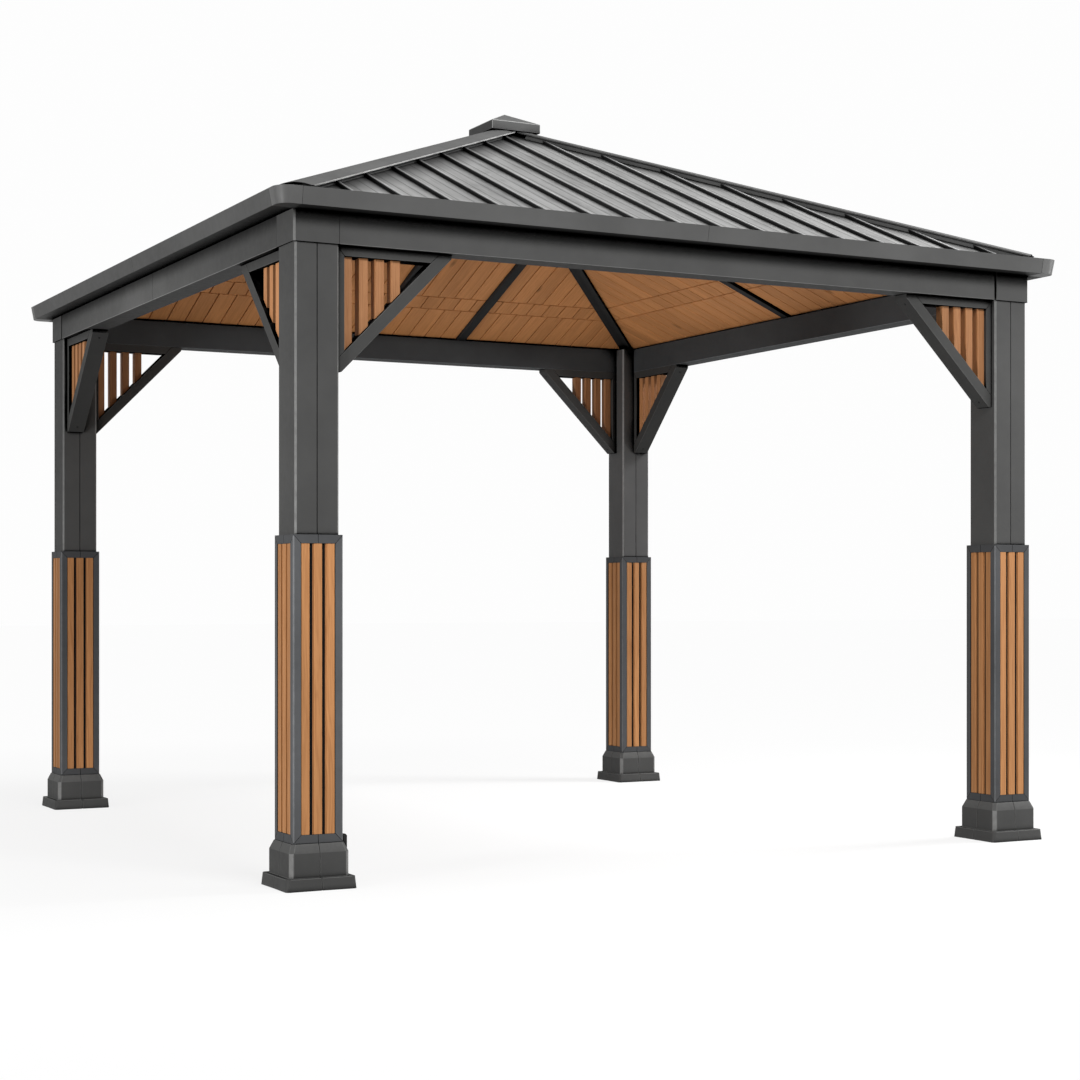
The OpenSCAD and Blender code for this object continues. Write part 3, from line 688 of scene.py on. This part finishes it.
for number, corner in enumerate(CORNERS):
    bench = Bench(31 + number)
    for face in range(4):
        turn = on_face(number, face)
        for i in range(SLATS_PER_FACE):
            left = -half_w + STILE_W + SLAT_SIDE + i * (slat_w + SLAT_GAP)
            stock = block((left, slat_face, jacket_low + RAIL_H),
                          (left + slat_w, slat_back - FELT_T, jacket_high - RAIL_H))
            # The slats' long rounds are painted lighter, as a painted highlight.
            bench.add(stock, SLAT_ROUND, turn=turn, rub=0.5)
            if i == lipless[(number + face) % 2]:
                continue
            start = left + slat_w if (number + face) % 2 else left - LIP_W
            lip = block((start, slat_back - FELT_T - LIP_T, jacket_low + RAIL_H),
                        (start + LIP_W, slat_back - FELT_T, jacket_high - RAIL_H))
            bench.add(lip, turn=turn)
    bench.set_up(corner + "_jacket_wood", slat_wood, "slat_wood", [corner + "_jacket_slats"])
print("slat width:", round(slat_w, 4), "slats:", bench.count)

# %% Black felt behind the slats
def black_felt(name):
    """Dull black stuff with a fine grain, for felt and closed foam."""
    felt = new_finish(name)
    cells = node(felt, "TexVoronoi", Vector=whereabouts(felt), Scale=600.0).outputs["Distance"]
    bump = node(felt, "Bump", Strength=0.4, Distance=0.0008, Height=cells)
    return shade_with(felt, Base_Color=ramp(felt, cells, 0.0, 0.8, 0.003, 0.010), Roughness=0.95,
                      Normal=bump.outputs[0], Specular_IOR_Level=0.05)

felt = black_felt("black_felt")
bench = Bench(49)
for number in range(4):
    for face in range(4):
        sheet = block((STILE_W - half_w, slat_back - FELT_T, jacket_low + RAIL_H),
                      (half_w - STILE_W, slat_back, jacket_high - RAIL_H))
        bench.add(sheet, turn=on_face(number, face))
bench.set_up("jacket_felts", felt, "base_paint")
print("felts:", bench.count)

# %% The catch beside the front left cover
CATCH_OUT, CATCH_W, CATCH_IN, CATCH_LOW, CATCH_HIGH = 0.019, 0.012, 0.010, 0.108, 0.181
CATCH_SLOPE, CATCH_ROUND = 0.006, 0.002
front = CATCH_IN - half_w
catch = block((half_w, front, CATCH_LOW), (half_w + CATCH_OUT, front + CATCH_W, CATCH_HIGH))
saw(catch, (half_w + CATCH_OUT, 0, CATCH_HIGH - CATCH_SLOPE), (1, 0, 1))
bench = Bench(50)
bench.add(catch, CATCH_ROUND, turn=Matrix.Translation(post_centre))
bench.set_up("cover_catch", catch_paint, "rafter_paint")
print("top of the catch:", CATCH_HIGH)

# %% [markdown]
# ## Beams
# A beam is a box section with eased edges, whose long rounds are painted lighter, partly wear and partly
# a painted highlight. Three of them run through in one length, and the left one is in two lengths that
# meet in the middle, where a fine joint line shows. At one end a beam fits close to the cover on the
# post's head, and at the other it stops a little short of it, so that there is room to lift it in: that
# end shows a dark slot. The tops are hidden under the roof. The left beam's outer face has a painted
# highlight about the middle, and painted shadow up under the gutter.

# %% A beam with a painted highlight and shadow on its left face
LEFT_HIGHLIGHT_AT, LEFT_HIGHLIGHT_REACH, GUTTER_SHADOW_LOW, GUTTER_SHADOW_HIGH = 0.2, 1.25, 2.228, 2.288
LEFT_HIGHLIGHT, LEFT_UNLIT, UNDER_GUTTER_SHADOW = 2.15, 0.95, 0.2

def paint_light_on_left_face(paint):
    """Paint a highlight on the left face about its middle, and painted shadow up under the gutter."""
    coat = paint.node_tree.nodes["Principled BSDF"].inputs["Base Color"]
    shade = coat.links[0].from_socket
    place = node(paint, "SeparateXYZ", _0=whereabouts(paint)).outputs
    off = reckon(paint, "ABSOLUTE", reckon(paint, "SUBTRACT", place["Y"], LEFT_HIGHLIGHT_AT))
    # Painted highlight: the left face is up to this much lighter about the middle of its length.
    highlight = ramp(paint, off, 0.0, LEFT_HIGHLIGHT_REACH, LEFT_HIGHLIGHT, LEFT_UNLIT)
    # Painted shadow: darker up under the gutter.
    gutter_shadow = ramp(paint, place["Z"], GUTTER_SHADOW_LOW, GUTTER_SHADOW_HIGH, 1.0, UNDER_GUTTER_SHADOW, interpolation_type="SMOOTHSTEP")
    level = node(paint, "Mix", _0=by_facing(paint, "X", 1.0, 0.0), _2=1.0, _3=times(paint, highlight, gutter_shadow))
    return shade_with(paint, Base_Color=scaled(paint, shade, level.outputs[0]))

# The left beam's coat, with the painted highlight and shadow on its left face.
left_lit_paint = paint_light_on_left_face(powder_coat("left_lit_paint", CHARCOAL))
print("washed:", left_lit_paint.name)

# %% The four beams
BEAM_JOINT, TIGHT_END, LOOSE_END, BEAM_ROUND = 0.0012, 0.0019, 0.009, 0.002
low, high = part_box("front_beam")
for number, side in enumerate(SIDES):
    bench = Bench(51 + number)
    near, far = (TIGHT_END, -LOOSE_END) if number % 2 == 0 else (-LOOSE_END, TIGHT_END)
    lengths = [(low.x - near, high.x + far)]
    if side == "left":
        lengths = [(low.x - near, -BEAM_JOINT / 2), (BEAM_JOINT / 2, high.x + far)]
    # Long rounds are painted lighter, partly wear and partly a painted highlight.
    for a, b in lengths:
        bench.add(block((a, low.y, low.z), (b, high.y, high.z)), BEAM_ROUND, along=(1, 0, 0),
                  across=(0, 1, 0), turn=quarter(number), rub=0.9)
    # The left beam carries the painted highlight and shadow, the rear and right ones the darker copy as
    # painted shade.
    paint = {"front": frame_paint, "left": left_lit_paint}.get(side, shaded_frame_paint)
    bench.set_up(side + "_beam_piece", paint, "frame_paint", [side + "_beam"])
print("beam length:", round(high.x - low.x, 3))

# %% [markdown]
# ## Corner braces
# Each post carries two braces, one under each beam. A brace is a flat triangle: a stile on the post, a
# rail under the beam, and a sloping member with blunt ends between them. Stile and rail meet in a mitre
# at the post. Shims hold the stile a few millimetres off the post, so a dark line parts them, and a
# screw goes through each end of the sloping member. Inside the triangle stand four slats, each sawn
# off where it meets the sloping member.

# %% The members of one brace
BRACE_STILE, BRACE_RAIL, BRACE_SLOPE, BRACE_BLUNT, BRACE_DEEP = 0.027, 0.034, 0.042, 0.016, 0.074
JOINT, SHIM, BRACE_ROUND = 0.0008, 0.0025, 0.0015
OUTER = (1, 0, -1)
low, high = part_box("front_left_braces")
brace_leg = high.z - low.z
brace_top = high.z
brace_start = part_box("front_beam")[0].x
brace_y = (low.y, low.y + BRACE_DEEP)
outward, diagonal = Vector(OUTER).normalized(), Vector((1, 0, 1)).normalized()

def brace_line(inset):
    """A point on the sloping member's outer line, moved inward."""
    return Vector((brace_start + brace_leg, 0, brace_top - BRACE_BLUNT)) - outward * inset

def brace_members():
    """Rail, stile and sloping member of the front left post's brace under the front beam."""
    x0, x1, z0, z1 = brace_start, brace_start + brace_leg, brace_top - brace_leg, brace_top
    inner = brace_line(BRACE_SLOPE)
    rail = block((x0, brace_y[0], z1 - BRACE_RAIL), (x1, brace_y[1], z1))
    saw(rail, (x0, 0, z1), (-BRACE_RAIL, 0, -BRACE_STILE))
    saw(rail, inner - outward * JOINT, OUTER)
    stile = block((x0 + SHIM, brace_y[0], z0), (x0 + BRACE_STILE, brace_y[1], z1))
    saw(stile, (x0, 0, z1 - JOINT), (BRACE_RAIL, 0, BRACE_STILE))
    saw(stile, inner - outward * JOINT, OUTER)
    slope = block((x0, brace_y[0], z0), (x1, brace_y[1], z1))
    saw(slope, brace_line(0), OUTER)
    saw(slope, inner, (-1, 0, 1))
    return rail, stile, slope

print("legs of a brace:", round(brace_leg, 3), "m")

# %% The braces on all posts
swap = Matrix(((0, 1, 0, 0), (1, 0, 0, 0), (0, 0, 1, 0), (0, 0, 0, 1)))

def swapped(stock):
    """The same member for the brace on the post's other face."""
    for point in stock.verts:
        point.co = swap @ point.co
    bmesh.ops.reverse_faces(stock, faces=stock.faces)
    return stock

def add_to_both(bench, number, make, easing=0.0, rub=0.0, across=(1, 0, 0)):
    """Put what make makes in a post's two braces. across is the second brace's."""
    for member in make():
        bench.add(member, easing, turn=quarter(number), rub=rub)
    for member in make():
        bench.add(swapped(member), easing, across=across, turn=quarter(number), rub=rub)

for number, corner in enumerate(CORNERS):
    bench = Bench(71 + number)
    # The members' long rounds are painted lighter, partly wear and partly a painted highlight.
    add_to_both(bench, number, brace_members, BRACE_ROUND, rub=0.6)
    bench.set_up(corner + "_brace_frames", brace_paint, "frame_paint", [corner + "_braces"])
print("members of the two braces on a post:", bench.count)

# %% The screws through the sloping members
SCREW_IN, SCREW_R, SCREW_RISE, SCREW_SIDES = 0.030, 0.0048, 0.0022, 12
SCREW_RINGS = ((1.0, -0.3), (1.0, 0.3), (0.72, 0.85), (0.42, 1.0), (0.34, 0.25))
ROOT_2 = 2 ** 0.5

def screw_head(place):
    """A domed head with a round socket, looking out from the sloping member."""
    sideways = Vector((0, 1, 0))
    stock = bmesh.new()
    circles = []
    for reach, height in SCREW_RINGS:
        centre = place + outward * SCREW_RISE * height
        circles.append([stock.verts.new(centre + SCREW_R * reach * (diagonal * cos(a) + sideways * sin(a)))
                        for a in (2 * pi * i / SCREW_SIDES for i in range(SCREW_SIDES))])
    for lower, upper in zip(circles, circles[1:]):
        for i in range(SCREW_SIDES):
            j = (i + 1) % SCREW_SIDES
            stock.faces.new((lower[i], lower[j], upper[j], upper[i]))
    stock.faces.new(circles[0])
    stock.faces.new(circles[-1])
    bmesh.ops.recalc_face_normals(stock, faces=stock.faces)
    return stock

def brace_screws():
    """One screw near each end of a sloping member, in the middle of its outer face."""
    middle = Vector((0, sum(brace_y) / 2, 0))
    upper = brace_line(0) + middle
    lower = upper - diagonal * (brace_leg - BRACE_BLUNT) * ROOT_2
    return screw_head(upper - diagonal * SCREW_IN), screw_head(lower + diagonal * SCREW_IN)

bench = Bench(89)
for number in range(4):
    add_to_both(bench, number, brace_screws)
bench.set_up("brace_screws", rafter_paint, "rafter_paint")
print("brace screws:", bench.count)

# %% The slats in the braces
BRACE_SLATS, BRACE_SLAT_PITCH, BRACE_SLAT_W, BRACE_SLAT_DEEP = 4, 0.060, 0.033, 0.040
SLAT_PLAY, SLOPE_PLAY, BRACE_SLAT_ROUND = 0.0004, 0.0006, 0.0018
slat_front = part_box("front_left_brace_slats")[0].y

def brace_slats():
    """The upright slats of one brace, sawn off above the sloping member."""
    for i in range(BRACE_SLATS):
        left = brace_start + BRACE_STILE + i * BRACE_SLAT_PITCH + (SLAT_PLAY if i == 0 else 0)
        stock = block((left, slat_front, brace_top - brace_leg),
                      (left + BRACE_SLAT_W, slat_front + BRACE_SLAT_DEEP, brace_top - BRACE_RAIL - SLAT_PLAY))
        yield saw(stock, brace_line(BRACE_SLOPE + SLOPE_PLAY), OUTER)

for number, corner in enumerate(CORNERS):
    bench = Bench(91 + number)
    add_to_both(bench, number, brace_slats, BRACE_SLAT_ROUND, across=(0, 1, 0))
    bench.set_up(corner + "_shaded_brace_wood", shaded_brace_wood, "slat_wood", [corner + "_brace_slats"])
print("slats in the braces on a post:", bench.count)

# %% [markdown]
# ## Boarded ceiling
# Under the roof sheets the rafters carry boards that run up the slope. They are separate tongued boards
# with a small V at each joint, cut to the hip lines, and a row of short boards crosses every side. It is
# easiest to think in the roof's own plane, so a matrix turns across, up and square into the building's
# axes. The boards are sawn afterwards by the upright planes that pass beside the hip rafters.

# %% The front slope's own axes
SLOPE = 0.42
pitch = atan(SLOPE)
beam_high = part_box("front_beam")[1]
beam_inner, beam_top = -beam_high.y, beam_high.z
apex = Vector((0, 0, beam_top + SLOPE * beam_inner))
on_slope = Matrix.Translation(apex) @ Matrix.Rotation(pitch, 4, "X")

def slope_block(x0, x1, run0, run1, low, high):
    """Stock in the front slope, between two runs from the middle, with heights square to the slope."""
    stock = block((x0, -run1 / cos(pitch), low), (x1, -run0 / cos(pitch), high))
    for point in stock.verts:
        point.co = on_slope @ point.co
    return stock

def trim_to_hips(stock, clear):
    """Saw a piece of the front slope along both hips, a distance clear of them."""
    for side in (-1, 1):
        saw(stock, Vector((0, -clear * ROOT_2, 0)), (side, 1, 0))
    return stock

up_slope = on_slope.to_3x3() @ Vector((0, 1, 0))
print("ridge of the rafters' undersides:", round(apex.z, 3), "pitch in degrees:", round(pitch * 180 / pi, 1))

# %% The boards
HIP_CLEAR, RAFTER_HALF, BOARD_W, BOARD_GAP, BOARD_ROUND = 0.0313, 0.0228, 0.089, 0.0055, 0.0012
BOARD_LOW, BOARD_HIGH, BOARD_PAST_BEAM = 0.015, 0.027, 0.012
SHORT_ROW, SHORT_ROW_SHIFT, NARROWEST_BOARD = (1.14, 1.245), 0.45, 0.008
BAYS_END, SIDE_RAFTER = 1.5, 0.5
board_end = beam_inner + BOARD_PAST_BEAM

def bays(places):
    """Left and right edge of every clear bay between rafters, across one side."""
    edges = [edge for x in places for edge in (x - RAFTER_HALF, x + RAFTER_HALF)]
    edges = [-BAYS_END] + edges + [BAYS_END]
    return list(zip(edges[::2], edges[1::2]))

for number, side in enumerate(SIDES):
    bench = Bench(111 + number)
    rafters = [-SIDE_RAFTER, 0.0, SIDE_RAFTER] if number % 2 == 0 else [0.0]
    for left, right in bays(rafters):
        onward = -1 if left == -BAYS_END else 1
        start = right if onward < 0 else left
        for row, (near, far) in enumerate(((0.0, SHORT_ROW[0]), SHORT_ROW, (SHORT_ROW[1], board_end))):
            step = 0
            offset = SHORT_ROW_SHIFT * BOARD_W if row == 1 else 0.0
            while step * BOARD_W < right - left + offset:
                a = start + onward * (step * BOARD_W - offset)
                b = a + onward * BOARD_W
                a, b = max(min(a, b), left) + BOARD_GAP / 2, min(max(a, b), right) - BOARD_GAP / 2
                step += 1
                if b - a < NARROWEST_BOARD:
                    continue
                board = slope_block(a, b, near + BOARD_GAP / 2, far - BOARD_GAP / 2, BOARD_LOW, BOARD_HIGH)
                trim_to_hips(board, HIP_CLEAR)
                # The boards' long rounds are painted lighter, as a painted highlight.
                bench.add(board, BOARD_ROUND, along=up_slope, turn=quarter(number), rub=0.3)
    bench.set_up(side + "_boards", ceiling_wood, "ceiling_wood", [side + "_ceiling"])
print("boards on the last side:", bench.count)

# %% [markdown]
# ## Standing-seam roof
# Each side of the roof is a row of coated steel pans. Their long edges are folded up and locked into
# upright seams that run from the eave to the hip. A pan is thin, so two grooves are pressed into it to
# stiffen it, and their sides are painted darker, as painted shade. Pans and seams are drawn as sections
# across the slope, drawn out along it, and sawn at the hips. The steel is painted darker under the hip
# caps, as painted shadow, and on the seams' sides and along their feet, as painted shade, while the
# seams' tops are painted pale, as a painted highlight.

# %% Coated steel sheet
# Painted shade at the feet of upright parts, and painted shadow beside the hips.
FOOT_REACH, FOOT_SPAN, FOOT_SHADE = 0.018, (0.6, 0.9), 0.12
HIP_SHADOW_SPAN, HIP_SHADOW_RAGGED, HIP_SHADOW_DARK = (0.19, 0.34), 0.12, 0.14

def coated_steel(name, colour, edge=1.0):
    """Satin sheet with faint streaks along the slope, painted shadow near the hips, painted shade close to
    other surfaces, and noted faces edge times as light.
    """
    steel = new_finish(name)
    place = noted(steel, "grain", "Vector")
    streaks = noise(steel, stretched(steel, place, (30.0, 1.3, 30.0)), 1.0, 3.0)
    clouds = noise(steel, stretched(steel, place, (6.0, 1.5, 6.0)), 1.0, 3.0)
    level = ramp(steel, reckon(steel, "ADD", streaks, clouds), 0.75, 1.25, 0.8, 1.16)
    level = dimmed(steel, level, noted(steel, "tone"), 0.0, 1.0, 0.95, 1.05)
    smears = noise(steel, stretched(steel, place, (13.0, 2.6, 13.0)), 1.0, 4.0, 0.65, 0.8)
    level = dimmed(steel, level, smears, 0.48, 0.7, 1.0, 0.6)
    spot = node(steel, "SeparateXYZ", _0=whereabouts(steel)).outputs
    from_mid = [reckon(steel, "ABSOLUTE", spot[axis]) for axis in "XY"]
    off_hip = reckon(steel, "ABSOLUTE", reckon(steel, "SUBTRACT", *from_mid))
    ragged = node(steel, "Math", {"operation": "MULTIPLY_ADD"}, _0=smears, _1=HIP_SHADOW_RAGGED, _2=off_hip)
    # Painted shadow: darker near the hips, with a ragged edge.
    level = dimmed(steel, level, ragged.outputs[0], *HIP_SHADOW_SPAN, HIP_SHADOW_DARK, 1.0)
    # Painted shade where other surfaces stand close, as at the seams' feet.
    level = dimmed(steel, level, openness(steel, FOOT_REACH), *FOOT_SPAN, FOOT_SHADE, 1.0)
    # Noted faces are painted edge times as light: crease sides darker as painted shade, seam tops paler as a
    # painted highlight.
    level = dimmed(steel, level, noted(steel, "edge"), 0.0, 1.0, 1.0, edge)
    waves = node(steel, "Bump", Strength=0.35, Distance=0.002, Height=clouds)
    return shade_with(steel, Base_Color=scaled(steel, colour, level), Normal=waves.outputs[0],
                      Roughness=ramp(steel, clouds, *NOISE_SPAN, 0.55, 0.68), Specular_IOR_Level=0.25)

# The crease sides in the pans are painted darker, as painted shade.
roof_steel = coated_steel("roof_steel", (0.215, 0.215, 0.212), edge=0.3)
# The seams are painted dark all over, as painted shade on their sides, and their tops are painted pale as a
# painted highlight.
shaded_seam_steel = coated_steel("shaded_seam_steel", (0.028, 0.028, 0.028), edge=13.0)
print("steels:", roof_steel.name, shaded_seam_steel.name)

# %% Sections of a pan and a seam, drawn out along the slope
SHEET_LOW, SHEET_HIGH, SEAM_W, SEAM_PITCH = 0.0883, 0.091, 0.010, 0.185
SEAM_TOP, SEAM_HEAD, SEAM_NECK, FOLD, FOLD_UNDER = 0.1065, 0.0045, 0.3, 0.0015, 0.001
CREASE_H, CREASE_W, CREASES = 0.0015, 0.0021, (0.36, 0.68)
square_to_slope = on_slope.to_3x3() @ Vector((0, 0, 1))

def drawn_out(section, run0, run1):
    """A straight length with this section: across and square to the front slope."""
    stock = bmesh.new()
    ends = []
    for run in (run1, run0):
        ends.append([stock.verts.new(on_slope @ Vector((x, -run / cos(pitch), h))) for x, h in section])
    near, far = ends
    stock.faces.new(near)
    stock.faces.new(far[::-1])
    count = len(section)
    for i in range(count):
        j = (i + 1) % count
        stock.faces.new((near[j], near[i], far[i], far[j]))
    bmesh.ops.recalc_face_normals(stock, faces=stock.faces)
    return stock

def pan_section(a, b):
    """A pan from seam to seam, flat below, with two fine creases pressed into its top."""
    top = []
    for x in [a + (b - a) * share for share in CREASES]:
        top += [(x - CREASE_W, SHEET_HIGH), (x, SHEET_HIGH - CREASE_H), (x + CREASE_W, SHEET_HIGH)]
    return [(a, SHEET_LOW), (b, SHEET_LOW), (b, SHEET_HIGH)] + top[::-1] + [(a, SHEET_HIGH)]

def seam_section(x):
    """A locked seam: a narrow upright under a wider folded head."""
    neck, head, under = SEAM_W * SEAM_NECK, SEAM_W / 2, SEAM_TOP - SEAM_HEAD
    right = [(neck, SHEET_LOW), (neck, under), (head, under + FOLD_UNDER), (head, SEAM_TOP - FOLD),
             (head - FOLD, SEAM_TOP)]
    return [(x + dx, h) for dx, h in right] + [(x - dx, h) for dx, h in right[::-1]]

print("seams stand", round(SEAM_TOP - SHEET_HIGH, 4), "m above the sheet")

# %% Pans and seams on all sides
HALF_EAVE, SHEET_GAP, SEAM_STOP, SEAM_SHORT, PANS_STOP = 1.62, 0.008, 0.044, 0.001, 0.0503
GROOVE_LEAN, HEAD_LEAN, HEAD_HIGHLIGHT = (0.5, 0.95), 0.6, 0.6
eave = -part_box("front_roof_sheet")[0].y
seams = [side * (i + 0.5) * SEAM_PITCH for i in range(8) for side in (-1, 1)]

for number, side in enumerate(SIDES):
    pans, ribs = Bench(131 + number), Bench(151 + number)
    edges = [-HALF_EAVE] + sorted(seams) + [HALF_EAVE]
    for a, b in zip(edges, edges[1:]):
        pan = trim_to_hips(drawn_out(pan_section(a, b), 0.0, eave), SHEET_GAP / 2)
        saw(pan, (0, -PANS_STOP, 0), (0, 1, 0))
        # The crease sides are noted to be painted darker, as painted shade.
        crease_shade = pan.faces.layers.float.new("edge")
        for face in pan.faces:
            face[crease_shade] = float(GROOVE_LEAN[0] < face.normal.dot(square_to_slope) < GROOVE_LEAN[1])
        pans.add(pan, 0.0, along=up_slope, turn=quarter(number))
    for x in seams:
        seam = drawn_out(seam_section(x), abs(x) / 2, eave - SEAM_SHORT)
        for way in (-1, 1):
            saw(seam, Vector((0, -SEAM_STOP, 0)), (way, 1, 0))
        # The seams' tops, and the upper part of their left sides, are noted to be painted pale, as a painted
        # highlight.
        seam_top_light = seam.faces.layers.float.new("edge")
        for face in seam.faces:
            face[seam_top_light] = float(face.normal.dot(square_to_slope) > HEAD_LEAN)
            on_head = (face.calc_center_median() - apex).dot(square_to_slope) > SEAM_TOP - SEAM_HEAD
            if on_head and face.normal.x < -HEAD_LEAN:
                face[seam_top_light] = HEAD_HIGHLIGHT
        ribs.add(seam, 0.0, along=up_slope, turn=quarter(number))
    pans.set_up(side + "_roofing", roof_steel, "roof_steel", [side + "_roof_sheet"])
    ribs.set_up(side + "_seams", shaded_seam_steel, "roof_steel")
print("pans on a side:", pans.count, "seams:", ribs.count)

# %% [markdown]
# ## Closures under the hip caps
# A hip cap rests on the seams, so there is a slot between it and the pans. On a real roof a strip of
# black foam closes it against wasps and driven rain, and a folded strip of metal stands in front of the
# foam. The foam here is near black, so it also stands in for the shade in the slot. On the right of each
# slope the metal stands close under the cap's edge, and on the left, where the cap laps further over, it
# stands deeper in. Each strip is a bar across the whole slope, sawn by two upright planes beside the hip
# until only the strip is left. The left hip's are mirrored copies.

# %% Foam and metal closures beside every hip
STRIP_TOP, STRIP_FOOT = 0.1, 0.03

def hip_strip(back, front, low, high):
    """A strip of the front slope between two upright planes beside the right hip, from back to front."""
    strip = slope_block(-HALF_EAVE, HALF_EAVE, STRIP_TOP, eave - STRIP_FOOT, low, high)
    saw(strip, Vector((0, -back * ROOT_2, 0)), (1, 1, 0))
    return saw(strip, Vector((0, -front * ROOT_2, 0)), (-1, -1, 0))

FOAM_BACK, FOAM_FRONT, FOAM_TOP, FOAM_SUNK, FOAM_ROUND = 0.040, 0.058, 0.1125, 0.0012, 0.0008
CLOSURE_T, CLOSURE_LOW, CLOSURE_ROUND = 0.0012, 0.0940, 0.0002
SEAT_RIGHT, SEAT_LEFT = (0.0738, 0.1122), (0.0610, 0.1140)
foams, closures = Bench(171), Bench(172)
for number in range(4):
    for flip, (seat, top) in ((1, SEAT_RIGHT), (-1, SEAT_LEFT)):
        turn = quarter(number) @ Matrix.Scale(flip, 4, (1, 0, 0))
        foam = hip_strip(FOAM_BACK, FOAM_FRONT, SHEET_HIGH - FOAM_SUNK, FOAM_TOP)
        closure = hip_strip(seat, seat + CLOSURE_T, CLOSURE_LOW, top)
        for bench, strip, easing in ((foams, foam, FOAM_ROUND), (closures, closure, CLOSURE_ROUND)):
            if flip < 0:
                bmesh.ops.reverse_faces(strip, faces=strip.faces)
            bench.add(strip, easing, along=up_slope, turn=turn)
# Near-black foam, which also stands in for the shade in the slot under the caps.
foams.set_up("hip_foams", felt, "rafter_paint")
closures.set_up("hip_closures", closure_paint, "cap_paint")
print("foam strips:", foams.count, "metal closures:", closures.count)
